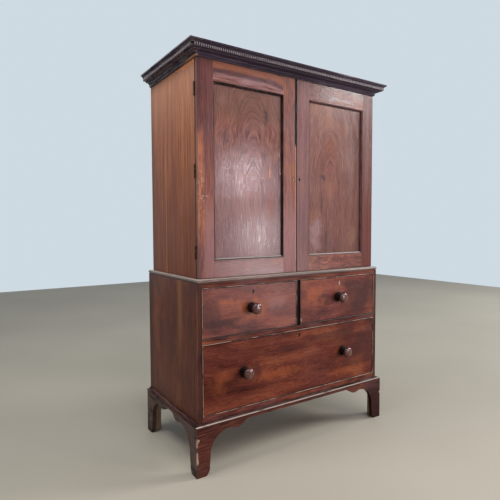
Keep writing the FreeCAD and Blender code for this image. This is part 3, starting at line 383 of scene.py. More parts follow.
def polish(node, name, along, tones, mix=(0.35, 0.4, 0.55, 0.8, 0.5), seed=0.0, gloss=0.36, gloss_play=0.16,
           gloss_streaks=0.0, wear=0.5, wear_width=0.003, cover=0.45, worn=(0.34, 0.15, 0.08), grime_and_shade=0.7,
           bloom=0.2, amber=0.2, bump=0.3, shine=0.5, marks=None, **figure):
    """Polishes one node. marks(bench, x, y, z) may stain what only this piece has."""
    bench = Bench(name)
    grain = Grain(bench, along, seed, **figure)
    bench.colour = grain.colour(mix, tones)
    clouds = bench.patches(0.22, seed + 1)
    bench.stain(clouds.rise(0.5, 0.66) * bloom, BLOOM_TONE)
    bench.stain(clouds.rise(0.48, 0.34) * amber, AMBER_TONE)
    if marks:
        marks(bench, *bench.place)
    bench.stain(grain.pores * 0.5, tuple(0.4 * v for v in tones[0]))
    bench.stain(bench.arris(wear_width) * bench.patches(0.05, seed).rise(cover, cover + 0.15) * wear, worn)
    # grime and painted shade: ambient occlusion darkens the corners and quirks
    bench.stain(bench.crevice(0.015) * grime_and_shade, GRIME_AND_SHADE_TONE)
    # the darkest paint, grime and painted shade alike, is made nearly matt
    dirt_and_shade = bench.add("RGBToBW", {0: bench.colour}).rise(0.03, 0.012)
    rough = (bench.patches(0.18, seed + 5) - 0.5) * gloss_play + gloss
    rough = rough + (grain.ribbon - 0.5) * (gloss_play * 2) + (grain.tick - 0.5) * gloss_streaks
    height = grain.fibre * 0.3 - grain.pores * 0.3 + (grain.line + grain.tick)
    height = height + bench.patches(0.05, seed + 9, 1.0) * 2.0
    dress(bench.finish(bench.choose(dirt_and_shade, rough, 0.95), height, bump, shine=shine), node)
    print("polished", node)


# %% [markdown]
# ## Case sides, rails and posts
# The cupboard's sides stood in daylight and faded to a tan with straight ribbon grain. Their
# colour also runs from a pale top to a darker, redder foot, which paints part of the light that
# falls from above. The chest's sides kept more of their red. A material per board type lets the
# grain run the way each board was cut.

# %% Case sides
SIDE_TONES = ((0.145, 0.044, 0.018), (0.24, 0.082, 0.037), (0.36, 0.145, 0.07))
CHEST_TONES = ((0.07, 0.019, 0.012), (0.125, 0.036, 0.023), (0.19, 0.066, 0.038))
RAIL_TONES = ((0.03, 0.007, 0.006), (0.09, 0.02, 0.014), (0.18, 0.046, 0.026))
POST_TONE = (0.03, 0.01, 0.011)
DIVIDER_SHADE_TONE = (0.008, 0.004, 0.004)
BARE_STRIP = 0.012
STREAK_Y = 0.115
OCHRE_Y = -0.075
MIDDLE_RAIL = (0.6, 0.64)


def cupboard_side_marks(bench, x, y, z):
    """Dark back edge, a red foot and a pale top that are partly fading and partly painted light from above,
    one long pale streak, and a bare strip under the cornice.
    """
    bench.stain(y.rise(CASE_HIGH.y - 0.075, CASE_HIGH.y - 0.005) * 0.55, (0.05, 0.025, 0.018))
    # painted light: darker and redder lower down, paler at the top, partly fading and partly the light
    # falling from above
    bench.stain(z.rise(1.75, 0.95) * 0.55, (0.11, 0.02, 0.008))
    bench.stain(z.rise(1.55, 1.9) * 0.3, (0.38, 0.22, 0.15))
    streak = y.within(STREAK_Y - 0.002, STREAK_Y + 0.002, 0.004)
    bench.stain(streak * z.rise(1.75, 1.4) * 0.5, (0.52, 0.22, 0.09))
    ragged = (bench.patches(0.05, 3.0) - 0.5) * 0.03
    under = (z + ragged).rise(CASE_HIGH.z - BARE_STRIP * 1.3, CASE_HIGH.z - BARE_STRIP)
    near = y.rise(CASE_LOW.y + 0.3, CASE_LOW.y + 0.12)
    bench.stain(under * near * 0.9, (0.5, 0.18, 0.07))


def chest_side_marks(bench, x, y, z):
    """Dark back edge, an ochre streak, a rubbed corner, and dark front edges that frame the drawers."""
    bench.stain(y.rise(CHEST_HIGH.y - 0.1, CHEST_HIGH.y - 0.01) * 0.6, (0.03, 0.016, 0.013))
    cloud = bench.patches(0.09, 2.0, 4.0, (1, 1, 2)).rise(0.48, 0.62)
    bench.stain(cloud * 0.45, (0.065, 0.028, 0.024))
    wave = (bench.patches(0.1, 6.0, 2.0, (1, 1, 3)) - 0.5) * 0.04
    streak = (y + wave).within(OCHRE_Y - 0.006, OCHRE_Y + 0.006, 0.04)
    bench.stain(streak * z.rise(0.42, 0.72) * 0.6, (0.27, 0.115, 0.042))
    corner = y.rise(DRAWER_FACE + 0.007, DRAWER_FACE + 0.005)
    rubbed_through = bench.patches(0.05, 7.0, 3.0, (1, 1, 3)).rise(0.36, 0.5)
    bench.stain(corner * rubbed_through * 0.7, (0.36, 0.13, 0.06))
    bench.stain(y.rise(DRAWER_FACE + 0.003, DRAWER_FACE + 0.001) * 0.85, POST_TONE)


def rail_marks(bench, x, y, z):
    """Orange wood showing at the left end of the rail under the short drawers."""
    left = z.within(*MIDDLE_RAIL, 0.005) * x.rise(CHEST_LOW.x + 0.32, CHEST_LOW.x + 0.05)
    worn = bench.patches(0.05, 2.0, 3.0, (4, 1, 1)).rise(0.35, 0.55)
    bench.stain(left * worn * 0.7, (0.34, 0.095, 0.04))


polish("upper_sides", "cupboard_side_wood", "z", SIDE_TONES, (0.3, 0.35, 0.8, 0.25, 0.6), 3.0, length=1.4,
       wander=0.006, shine=0.08, bloom=0.0, wear=0.2, marks=cupboard_side_marks)
polish("lower_sides", "chest_side_wood", "z", CHEST_TONES, (0.5, 0.4, 0.35, 0.3, 0.6), 1.0, ribbon=0.02,
       length=0.8, shine=0.1, bloom=0.05, marks=chest_side_marks)
polish("drawer_rails", "rail_wood", "x", RAIL_TONES, shine=0.1, grime_and_shade=0.6, wear=0.3, marks=rail_marks)
# near black all through: painted shade for the gap between the short drawers
polish("drawer_divider", "divider_wood", "z", [DIVIDER_SHADE_TONE] * 3, shine=0.05, grime_and_shade=1.0, wear=0.1, bloom=0.0,
       amber=0.0)

# %% [markdown]
# ## Doors
# Each door has two stiles, two rails and a thin panel with arched figure, sawn from the outside
# of a log. The left door's outer stile is rubbed amber where hands have pulled it for two
# centuries, and its outer edge is darker.

# %% Door frames
DOOR_TONES = ((0.07, 0.017, 0.014), (0.165, 0.044, 0.031), (0.29, 0.088, 0.056))
PLUM_TONE = (0.085, 0.024, 0.028)
PALE_WOOD = (0.5, 0.19, 0.085)
PULL_LOW = 1.14
PULL_HIGH = 1.55
WIDE_SEAM_FROM = 1.575
SEAM_SHADE = 0.014
ARRIS_LINE = 0.007
KEY_HIGH = 1.408
KEY_INSET = 0.018
FLAKES = ((-0.554, 1.369), (-0.554, 1.301), (-0.534, 1.301), (-0.561, 1.29))


def left_stile_marks(bench, x, y, z):
    """Plum top, rubbed outer stile, dark edge with painted shade at its back, pale meeting edge, painted
    shade in the seam, and a few flakes.
    """
    outer = LEFT_STILES[0].x
    inner = LEFT_STILES[1].x
    bench.stain(x.rise(outer + 0.2, outer + 0.15) * z.rise(1.45, 1.75) * 0.6, PLUM_TONE)
    ragged = (bench.patches(0.05, 2.0, 5.0, (1, 1, 3)) - 0.5) * 0.1
    from_edge = x - outer + ragged
    pulled = from_edge.rise(0.04, 0.01) * z.within(PULL_LOW, PULL_HIGH, 0.08)
    fibre = bench.patches(0.007, 1.0, 3.0, (1, 1, 10)).rise(0.3, 0.58)
    bench.stain(pulled * fibre * 0.8, (0.46, 0.155, 0.07))
    crumbs = bench.patches(0.009, 8.0, 3.0, (1, 1, 2)).rise(0.56, 0.66)
    flaked = from_edge.rise(0.055, 0.015) * z.within(1.24, 1.4, 0.05) * crumbs
    bench.stain(flaked * 0.75, (0.48, 0.27, 0.13))
    edge = x.rise(outer + 0.002, outer + 0.001)
    bench.stain(edge * 0.6, (0.11, 0.04, 0.024))
    # painted shade in the gap behind the door's outer edge, next to the case
    bench.stain(edge * y.rise(DOOR_FACE + 0.012, DOOR_FACE + 0.02) * 0.9, GRIME_AND_SHADE_TONE)
    meeting = x.rise(inner - ARRIS_LINE, inner - ARRIS_LINE * 0.6)
    low = z.rise(WIDE_SEAM_FROM + 0.02, WIDE_SEAM_FROM - 0.01)
    broken = bench.patches(0.03, 5.0, 3.0, (1, 1, 3)).rise(0.35, 0.5)
    bench.stain(meeting * low * broken * 0.85, PALE_WOOD)
    # painted shade: the wide black seam between the doors above WIDE_SEAM_FROM
    bench.stain(x.rise(inner - SEAM_SHADE, inner - SEAM_SHADE / 2) * (1.0 - low), GRIME_AND_SHADE_TONE)
    # painted shade on the meeting edge, inside the gap
    bench.stain(x.rise(inner - 0.001, inner - 0.0003), GRIME_AND_SHADE_TONE)
    bench.marks([(*place, 0.009, 0.005, 0.8, (0.5, 0.31, 0.19)) for place in FLAKES], 0.5)
    bench.stain(z.rise(1.35, 1.15) * x.rise(outer + 0.02, outer + 0.05) * 0.5, (0.31, 0.155, 0.16))
    bench.stain(bench.spot((inner - KEY_INSET, KEY_HIGH), (0.007, 0.016), 0.3), GRIME_AND_SHADE_TONE)


def right_stile_marks(bench, x, y, z):
    """Painted shade along the seam at the meeting edge, a mauve inner stile of bloom and painted sheen, a
    dark outer one and a smudge round the keyhole.
    """
    inner = RIGHT_STILES[0].x
    # painted shade in the seam between the doors
    bench.stain(x.rise(inner + SEAM_SHADE * 0.4, inner + SEAM_SHADE * 0.2), GRIME_AND_SHADE_TONE)
    # mauve bloom, with painted sheen, over the inner stile
    bench.stain(x.rise(inner + 0.16, inner + 0.09) * 0.5, (0.2, 0.105, 0.115))
    bench.stain(x.rise(inner + 0.35, inner + 0.45) * 0.75, (0.1, 0.02, 0.014))
    bench.stain(bench.spot((inner + KEY_INSET, KEY_HIGH), (0.009, 0.014), 0.3), GRIME_AND_SHADE_TONE)


def left_rail_marks(bench, x, y, z):
    """Amber, dark and pink bands that wander along the top rail, and a paler low rail."""
    high = z.rise(LEFT_PANEL[1].z - 0.03, LEFT_PANEL[1].z)
    line = z + (bench.patches(0.25, 2.0, 1.0) - 0.5) * 0.1
    middle = (LEFT_PANEL[1].z + LEFT_STILES[1].z) / 2
    bench.stain(line.within(middle, middle + 0.02, 0.02) * high * 0.6, (0.33, 0.105, 0.045))
    bench.stain(line.within(middle - 0.028, middle - 0.012, 0.012) * high * 0.6, (0.055, 0.025, 0.035))
    pink = line.within(middle - 0.055, middle - 0.04, 0.02) * high
    streaky = bench.patches(0.01, 3.0, 3.0, (12, 1, 1)).rise(0.3, 0.65)
    bench.stain(pink * streaky * 0.75, (0.36, 0.2, 0.2))
    bench.stain(z.rise(LEFT_PANEL[0].z + 0.01, LEFT_PANEL[0].z - 0.01) * 0.45, (0.32, 0.155, 0.14))


STILE_CUT = {"ribbon": 0.02, "length": 0.7, "shine": 0.25}
RAIL_CUT = {"ribbon": 0.02, "length": 0.4, "swirl": 0.012, "shine": 0.4}
polish("left_door_stiles", "left_stile_wood", "z", DOOR_TONES, seed=7.0, amber=0.3,
       marks=left_stile_marks, **STILE_CUT)
polish("right_door_stiles", "right_stile_wood", "z", DOOR_TONES, seed=7.6, gloss=0.28, bloom=0.1,
       marks=right_stile_marks, **STILE_CUT)
polish("left_door_rails", "left_rail_wood", "x", DOOR_TONES, seed=2.0, amber=0.4, gloss=0.25, bloom=0.3,
       marks=left_rail_marks, **RAIL_CUT)
polish("right_door_rails", "right_rail_wood", "x", DOOR_TONES, seed=2.6, amber=0.5, gloss=0.22, bloom=0.0,
       **RAIL_CUT)

# %% Door panels
PANEL_TONES = ((0.075, 0.022, 0.018), (0.18, 0.057, 0.042), (0.3, 0.11, 0.08))
RIGHT_PANEL_TONES = ((0.072, 0.024, 0.019), (0.16, 0.057, 0.043), (0.26, 0.105, 0.078))
LEFT_ARCH = (-0.265, 1.33)
RIGHT_ARCH = (0.246, 1.36)
KNOT_TONE = (0.045, 0.022, 0.028)
LEFT_PANEL_MARKS = (
    (-0.428, 1.584, 0.022, 0.070, 0.55, KNOT_TONE),
    (-0.190, 1.706, 0.020, 0.060, 0.65, KNOT_TONE),
    (-0.255, 1.650, 0.075, 0.055, 0.35, (0.26, 0.12, 0.085)),
    (-0.440, 1.760, 0.035, 0.040, 0.40, (0.26, 0.13, 0.11)),
    (-0.165, 1.430, 0.009, 0.040, 0.90, (0.52, 0.18, 0.08)),
    (-0.158, 1.265, 0.032, 0.110, 0.80, (0.21, 0.052, 0.026)),
    (-0.211, 1.403, 0.005, 0.005, 0.90, (0.60, 0.55, 0.55)),
    (-0.205, 1.130, 0.012, 0.060, 0.50, (0.34, 0.14, 0.085)),
)
RIGHT_PANEL_MARKS = (
    (0.202, 1.425, 0.024, 0.030, 0.80, KNOT_TONE),
    (0.190, 1.280, 0.014, 0.110, 0.45, KNOT_TONE),
    (0.224, 1.090, 0.014, 0.095, 0.65, KNOT_TONE),
    (0.150, 1.120, 0.060, 0.130, 0.60, (0.30, 0.17, 0.18)),
    (0.260, 1.600, 0.080, 0.080, 0.30, (0.28, 0.11, 0.065)),
    (0.430, 1.100, 0.050, 0.090, 0.45, (0.24, 0.12, 0.065)),
)


def left_panel_marks(bench, x, y, z):
    """Dark knots, an amber flame, a red patch and a fleck, on a mauve ground low down."""
    bench.stain((z + bench.patches(0.3, 1.0, 2.0) * 0.3).rise(1.75, 1.5) * 0.4, BLOOM_TONE)
    bench.stain(z.rise(1.62, 1.74) * 0.5, (0.15, 0.075, 0.05))
    bench.marks(LEFT_PANEL_MARKS, 0.35)


def right_panel_marks(bench, x, y, z):
    """Darker right edge, a dark knot and streaks low at the left, and a mauve bloom beside them."""
    bench.stain(x.rise(RIGHT_PANEL[0].x + 0.15, RIGHT_PANEL[1].x) * 0.45, (0.09, 0.024, 0.014))
    bench.marks(RIGHT_PANEL_MARKS, 0.35)


PANEL_CUT = {"ribbon": 0.025, "swirl": 0.006}
polish("left_door_panel", "left_panel_wood", "z", PANEL_TONES, (0.5, 0.1, 0.14, 0.48, 0.8), 4.0,
       arch=LEFT_ARCH, gloss=0.19, gloss_play=0.05, gloss_streaks=0.35, bump=0.5, amber=0.25, shine=0.4,
       marks=left_panel_marks, **PANEL_CUT)
polish("right_door_panel", "right_panel_wood", "z", RIGHT_PANEL_TONES, (0.4, 0.06, 0.12, 0.5, 0.6), 5.3,
       arch=RIGHT_ARCH, gloss=0.22, bump=0.4, bloom=0.0, amber=0.3, shine=0.3, marks=right_panel_marks,
       **PANEL_CUT)


# %% Mouldings round the panels
def left_moulding_marks(bench, x, y, z):
    """Dust and painted top light on the run that looks up."""
    # pale: dust, and painted light on the run that looks up
    bench.stain(bench.ledge(0.3, 0.7) * 0.85, (0.42, 0.38, 0.34))


def right_moulding_marks(bench, x, y, z):
    """Painted shade down the left run, and dust and painted top light on the run that looks up."""
    # painted shade on the left run
    bench.stain(x.rise(RIGHT_PANEL[0].x + 0.03, RIGHT_PANEL[0].x + 0.015) * 0.9, (0.015, 0.007, 0.008))
    left_moulding_marks(bench, x, y, z)


DULL = {"bloom": 0.0, "amber": 0.0, "shine": 0.2, "gloss": 0.5}
# near-black tones: painted shade in the recess round the panel
polish("left_door_moulding", "door_moulding_wood", "z", ((0.01, 0.005, 0.005), (0.026, 0.011, 0.011),
       (0.07, 0.034, 0.032)), seed=8.0, wear=0.35, worn=(0.20, 0.16, 0.16), marks=left_moulding_marks, **DULL)
polish("right_door_moulding", "right_moulding_wood", "z", ((0.03, 0.012, 0.013), (0.095, 0.036, 0.038),
       (0.17, 0.075, 0.075)), seed=8.5, wear=0.2, worn=(0.24, 0.18, 0.18), grime_and_shade=0.3,
       marks=right_moulding_marks, **DULL)

# %% [markdown]
# ## Drawer fronts
# The fronts were cut from one curly plank, so their figure flows and swirls. A dark line against
# the beads round the edge is painted shade beside the proud bead, with the polish and dirt that
# gather there. The line is drawn from the distance to each front's own edges, read from the
# frame. Each knob has a painted shadow, with dirt, a little to its left.

# %% Drawer fronts
SHORT_TONES = ((0.055, 0.012, 0.011), (0.155, 0.035, 0.026), (0.27, 0.078, 0.046))
LONG_TONES = ((0.045, 0.009, 0.006), (0.118, 0.025, 0.015), (0.22, 0.06, 0.03))
ORANGE_TONE = (0.4, 0.105, 0.035)
DARK_FIGURE = (0.045, 0.014, 0.014)
BEAD_THICK = 0.003
DIRT_LINE = 0.006
KNOBS = {
    "left_drawer": [(-0.3, 0.76075)],
    "right_drawer": [(0.2875, 0.76075)],
    "long_drawer": [(-0.347, 0.44625), (0.323, 0.44625)],
}
KEYHOLES = {"left_drawer": (-0.292, 0.84), "right_drawer": (0.2955, 0.84), "long_drawer": (0.004, 0.581)}
KEYHOLE_RIMS = {"left_drawer": GRIME_AND_SHADE_TONE, "right_drawer": (0.4, 0.3, 0.23), "long_drawer": GRIME_AND_SHADE_TONE}
DRAWER_MARKS = {
    "left_drawer": (
        (-0.305, 0.755, 0.13, 0.06, 0.6, ORANGE_TONE), (-0.47, 0.7, 0.11, 0.03, 0.75, DARK_FIGURE),
        (-0.38, 0.675, 0.1, 0.016, 0.6, DARK_FIGURE), (-0.45, 0.8, 0.1, 0.02, 0.5, ORANGE_TONE),
        # painted sheen: a soft pinkish glare patch on the right of the drawer
        (-0.15, 0.78, 0.1, 0.065, 0.35, (0.28, 0.14, 0.135)),
        (-0.53, 0.74, 0.08, 0.12, 0.6, DARK_FIGURE),
        (-0.275, 0.712, 0.004, 0.004, 0.9, (0.012, 0.008, 0.008)),
    ),
    "right_drawer": (
        (0.11, 0.78, 0.1, 0.06, 0.45, ORANGE_TONE), (0.4, 0.83, 0.14, 0.03, 0.8, DARK_FIGURE),
        (0.49, 0.76, 0.22, 0.15, 0.9, DARK_FIGURE), (0.2, 0.68, 0.12, 0.03, 0.35, DARK_FIGURE),
        (0.015, 0.66, 0.005, 0.01, 0.9, (0.5, 0.42, 0.36)),
    ),
    "long_drawer": (
        (-0.28, 0.43, 0.045, 0.1, 0.4, DARK_FIGURE), (-0.13, 0.4, 0.2, 0.04, 0.35, ORANGE_TONE),
        (0.23, 0.55, 0.25, 0.03, 0.55, DARK_FIGURE), (0.5, 0.48, 0.26, 0.21, 0.75, DARK_FIGURE),
        (-0.48, 0.42, 0.08, 0.08, 0.3, ORANGE_TONE), (-0.08, 0.52, 0.2, 0.02, 0.4, DARK_FIGURE),
        (0.35, 0.33, 0.16, 0.03, 0.3, ORANGE_TONE),
    ),
}


def front_marks(body):
    """Painter of one drawer front: its figure, painted knob shadows with dirt, dirt round the keyhole, and
    painted shade with dirt at the beads.
    """
    low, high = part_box(body + "_front")

    def paint(bench, x, y, z):
        bench.marks(DRAWER_MARKS[body], 0.4)
        for across, up in KNOBS[body]:
            # each knob's painted shadow, with dirt, a little to its left
            bench.stain(bench.spot((across - 0.006, up), (0.048, 0.048), 0.1) * 0.8, GRIME_AND_SHADE_TONE)
        bench.stain(bench.spot(KEYHOLES[body], (0.009, 0.017), 0.2), KEYHOLE_RIMS[body])
        # painted shade with polish and dirt, in a dark line against the beads
        nearest = x - low.x
        for side in (high.x - x, z - low.z, high.z - z):
            nearest = bench.sum("MINIMUM", nearest, side)
        broken = bench.patches(0.08, 4.0).rise(0.34, 0.48)
        bench.stain((nearest - BEAD_THICK).rise(DIRT_LINE, DIRT_LINE * 0.3) * broken * 0.9, GRIME_AND_SHADE_TONE)

    return paint


FRONTS = (("left_drawer", SHORT_TONES, 1.5, 0.27), ("right_drawer", SHORT_TONES, 5.5, 0.14),
          ("long_drawer", LONG_TONES, 9.5, 0.08))
for body, tones, seed, shine in FRONTS:
    polish(body + "_front", body + "_wood", "x", tones, (0.65, 0.42, 0.22, 0.3, 0.4), seed, ribbon=0.045,
           length=0.3, swirl=0.015, wander=0.03, amber=0.15, bloom=0.05, shine=shine,
           marks=front_marks(body))

# %% [markdown]
# ## Cornice, base and mouldings
# The cornice is nearly black with old varnish. Its edges and worn teeth are painted greyer and
# paler, for wear and for the highlights they catch, and the gaps between the teeth are painted
# black for their shade. The waist moulding is rubbed along its thin edges, which is where a
# duster goes; its pale edges and upward faces also stand for painted highlights and top light,
# and its side runs are darkened as painted shade. The feet have chips where boots and brooms
# have struck them.

# %% Cornice and waist
TOOTH_FACE = 0.0012
CORNICE_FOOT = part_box("cornice_moulding")[0].z


def cornice_marks(bench, x, y, z):
    """Paler left run of painted sheen, dusty top, and a bare amber strip low on the left near the front
    corner.
    """
    # painted sheen makes the left run paler
    left_run_sheen = x.rise(-MITRE_X + 0.01, -MITRE_X - 0.005)
    speckled = bench.patches(0.012, 3.0, 3.0, (3, 8, 1)).rise(0.4, 0.6)
    bench.stain(left_run_sheen * speckled * 0.35, (0.17, 0.12, 0.125))
    bench.stain(bench.ledge(0.7, 0.95) * 0.8, (0.085, 0.068, 0.062))
    strip = z.within(CORNICE_FOOT - 0.01, CORNICE_FOOT + 0.006, 0.003)
    left = x.rise(-MITRE_X + 0.004, -MITRE_X - 0.001)
    bench.stain(strip * left * y.rise(MITRE_Y + 0.14, MITRE_Y + 0.04) * 0.85, (0.55, 0.22, 0.09))


def dentil_gaps(bench, x, y, z):
    """Painted shade: black everywhere behind the faces of the teeth."""
    low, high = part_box("dentil_strips")
    proud = bench.sum("MAXIMUM", abs(x) - high.x, low.y - y)
    bench.stain(proud.rise(-TOOTH_FACE / 2, -TOOTH_FACE), (0.008, 0.005, 0.006))


def waist_marks(bench, x, y, z):
    """Dust and painted top light on the faces that look up, and painted shade along the two side runs."""
    # dust, and painted light from above
    bench.stain(bench.ledge(0.55, 0.9) * 0.6, (0.46, 0.4, 0.34))
    # painted shade on the side runs
    bench.stain(abs(x).rise(CHEST_HIGH.x - 0.004, CHEST_HIGH.x) * 0.5, (0.1, 0.065, 0.045))


# pale worn colour along every edge: wear, and painted highlight lines
polish("cornice_moulding", "cornice_wood", "mitre", ((0.007, 0.003, 0.009), (0.025, 0.008, 0.028),
       (0.065, 0.028, 0.064)), (0.3, 0.1, 0.1, 0.1, 0.2), 2.5, worn=(0.34, 0.27, 0.33), wear=1.0,
       wear_width=0.0014, cover=0.2, gloss=0.28, bloom=0.0, amber=0.0, marks=cornice_marks)
# pale grey teeth: wear, and painted highlights
polish("dentil_strips", "dentil_wood", "mitre", ((0.11, 0.09, 0.098), (0.225, 0.188, 0.203),
       (0.34, 0.295, 0.31)), seed=2.9, worn=(0.32, 0.28, 0.30), wear_width=0.001, grime_and_shade=1.0,
       marks=dentil_gaps, **DULL)
# pale worn edges: wear, and painted highlights along them
polish("waist_moulding", "waist_moulding_wood", "mitre", ((0.05, 0.024, 0.018), (0.12, 0.062, 0.045),
       (0.22, 0.13, 0.10)), seed=6.5, worn=(0.50, 0.41, 0.35), wear=1.0, wear_width=0.0012, bloom=0.0,
       marks=waist_marks)


# %% Base
def base_moulding_marks(bench, x, y, z):
    """Pale along its top at the front, from rubbing and painted top light; dark everywhere else."""
    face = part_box("plinth_moulding")[0].y
    # rubbed wear and painted top light along the front's top
    rubbed = y.rise(face + 0.013, face + 0.009) * bench.patches(0.06, 2.0).rise(0.28, 0.45)
    bench.stain(bench.ledge(0.3, 0.7) * rubbed * 0.9, (0.5, 0.42, 0.37))


def foot_marks(bench, x, y, z):
    """Darker towards the floor, painted shade on the right foot, ragged chips along the left front corner,
    and a nick on the right.
    """
    bench.stain(z.rise(0.11, 0.0) * 0.5, (0.02, 0.008, 0.007))
    # painted shade on the right foot
    right = x.rise(BASE_HIGH.x - 0.16, BASE_HIGH.x - 0.1)
    bench.stain(right * z.rise(0.26, 0.17) * 0.85, (0.018, 0.006, 0.006))
    ragged = (bench.patches(0.016, 6.0, 5.0, (1, 1, 2.4)) - 0.5) * 0.06
    chips = (x - BASE_LOW.x + ragged).rise(0.005, 0.001) * z.within(0.075, 0.175, 0.02)
    bench.stain(chips * y.rise(BASE_LOW.y + 0.012, BASE_LOW.y + 0.004) * 0.85, (0.46, 0.31, 0.23))
    bench.stain(bench.spot((BASE_HIGH.x - 0.004, 0.15), (0.006, 0.01), 0.3), (0.5, 0.36, 0.28))


# pale worn edges: wear, and painted highlights along them
polish("plinth_moulding", "plinth_moulding_wood", "mitre", ((0.014, 0.006, 0.005), (0.042, 0.014, 0.011),
       (0.09, 0.036, 0.027)), seed=6.1, wear=0.4, worn=(0.30, 0.20, 0.16), wear_width=0.0012, bloom=0.0,
       amber=0.0, shine=0.15, marks=base_moulding_marks)
polish("plinth_front", "base_front_wood", "x", ((0.04, 0.01, 0.008), (0.095, 0.025, 0.018),
       (0.17, 0.050, 0.034)), seed=3.5, shine=0.12, marks=foot_marks)
polish("plinth_sides", "base_side_wood", "y", ((0.018, 0.008, 0.006), (0.05, 0.024, 0.017),
       (0.11, 0.055, 0.037)), seed=4.5, shine=0.25, marks=foot_marks)

# %% [markdown]
# ## Plain wood inside
# Drawer linings, trays, runners and back boards were never polished. They are dry oak and pine,
# planed by hand and darkened by age and dust. The same grain serves without the polish: rougher,
# paler, and with a dark line at each joint between the back boards.

# %% Bare wood
OAK = ((0.16, 0.095, 0.05), (0.31, 0.2, 0.115), (0.44, 0.31, 0.19))
PINE = ((0.13, 0.075, 0.04), (0.26, 0.16, 0.09), (0.38, 0.25, 0.15))
TRAY = ((0.12, 0.055, 0.03), (0.25, 0.125, 0.07), (0.36, 0.2, 0.12))
BOARD_GAP = 0.0012


def bare(name, along, tones, seed, *nodes, joints=None):
    """Unpolished boards with dust and painted shade in their corners; joints are (axis, number of boards)."""
    bench = Bench(name)
    grain = Grain(bench, along, seed, wander=0.01, length=0.6)
    bench.colour = grain.colour((0.6, 0.4, 0.35, 0.3, 0.4), tones)
    bench.stain(grain.pores * 0.5, tones[0])
    bench.stain(bench.patches(0.25, seed + 3).rise(0.5, 0.72) * 0.35, tones[0])
    # dust and painted shade in the corners
    bench.stain(bench.crevice(0.03) * 0.6, (0.03, 0.02, 0.014))
    if joints:
        axis, count = joints
        low, high = [corner[axis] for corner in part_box(nodes[0])]
        place = (bench.place[axis] - low) / ((high - low) / count)
        reach = BOARD_GAP * count / (high - low)
        bench.stain(abs(place - bench.sum("ROUND", place)).rise(reach * 2, reach), (0.02, 0.013, 0.009))
    dress(bench.finish(0.72, grain.fibre - grain.pores * 0.8, 0.4), *nodes)
    print(name, "on", len(nodes), "pieces")


bare("drawer_lining_wood", "y", OAK, 1.0, "left_drawer_box", "right_drawer_box", "long_drawer_box")
bare("tray_wood", "x", TRAY, 2.0, "tray_1", "tray_2", "tray_3", "tray_4")
bare("runner_wood", "y", PINE, 3.0, "drawer_runners", "drawer_guide", "drawer_kickers", "tray_runners")
bare("board_wood", "x", PINE, 4.0, "lower_top", "lower_bottom", "dustboards", "drawer_stops", "upper_top",
     "upper_bottom", "cornice_frame", "back_brackets")
bare("upright_wood", "z", PINE, 5.0, "foot_blocks")
bare("lower_back_wood", "x", PINE, 4.5, "lower_back", joints=(2, 3))
bare("upper_back_wood", "z", PINE, 5.5, "upper_back", joints=(0, 5))

# %% [markdown]
# ## Brass and steel
# The hinges, bolts and locks are old brass and steel that nobody polishes any more: dark in the
# hollows, brighter where hands and keys rub.

# %% Metals
def old_metal(name, dull, bright, rough):
    """Aged metal, rubbed bright along its edges."""
    bench = Bench(name)
    cloud = bench.patches(0.01, 1.0, 4.0)
    rub = bench.sum("ADD", bench.arris(0.0015, 3.0), cloud.rise(0.5, 0.75), clamp=True)
    bench.colour = bench.blend(rub, dull, bright)
    bench.shader.inputs["Metallic"].default_value = 1.0
    return bench.finish(rough - rub * 0.15, cloud, 0.3, depth=0.0002)


HINGE = old_metal("tarnished_brass", (0.06, 0.034, 0.022), (0.15, 0.095, 0.052), 0.6)
BRASS = old_metal("aged_brass", (0.16, 0.11, 0.05), (0.5, 0.37, 0.17), 0.45)
PALE_BRASS = old_metal("rubbed_brass", (0.4, 0.31, 0.18), (0.8, 0.68, 0.45), 0.4)
STEEL = old_metal("worn_steel", (0.1, 0.09, 0.085), (0.35, 0.34, 0.33), 0.5)
LOCKED = ("right_door", "left_drawer", "right_drawer", "long_drawer")
dress(HINGE, "case_hinges", "left_door_hinges", "right_door_hinges")
dress(BRASS, "left_door_bolt_plates", *[body + "_lock" for body in LOCKED])
dress(STEEL, "left_door_top_bolt", "left_door_bottom_bolt", *[body + "_lock_bolt" for body in LOCKED])
print("metals done")

# %% [markdown]
# ## Skins from rings
# Knobs, beads and keyhole linings are all one outline carried along a path. Blender has a tool
# for each, but one function that joins rings of points with four-sided faces makes them all.

# %% Join rings of points
def new_piece(name, vertices, faces, *materials, smooth=False):
    """Mesh object made of plain lists."""
    mesh = bpy.data.meshes.new(name)
    mesh.from_pydata(vertices, [], faces)
    mesh.update()
    for material in materials:
        mesh.materials.append(material)
    if smooth:
        mesh.shade_smooth()
    piece = bpy.data.objects.new(name, mesh)
    bpy.context.scene.collection.objects.link(piece)
    return piece


def skin(name, rings, *materials, loop=True, smooth=False):
    """Joins rings of equally many points. A skin that is no loop is closed by its end rings."""
    count = len(rings[0])
    total = count * len(rings)
    faces = []
    for first in range(0, total if loop else total - count, count):
        after = (first + count) % total
        for step in range(count):
            turn = (step + 1) % count
            faces.append((first + step, first + turn, after + turn, after + step))
    if not loop:
        faces.append(tuple(reversed(range(count))))
        faces.append(tuple(range(total - count, total)))
    return new_piece(name, [point for ring in rings for point in ring], faces, *materials, smooth=smooth)


def seat(piece, body):
    """Says which body a new piece rides on."""
    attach(piece, body)
    print(piece.name, len(piece.data.polygons), "faces")


# %% [markdown]
# ## Turned knobs
# Each knob was turned on a lathe from one piece of mahogany: a stepped foot, a hollow neck and a
# bun head. Spinning one half outline round its axis is the same act in mesh code. The outline is
# a short list of points, and smooth shading hides the steps between them.

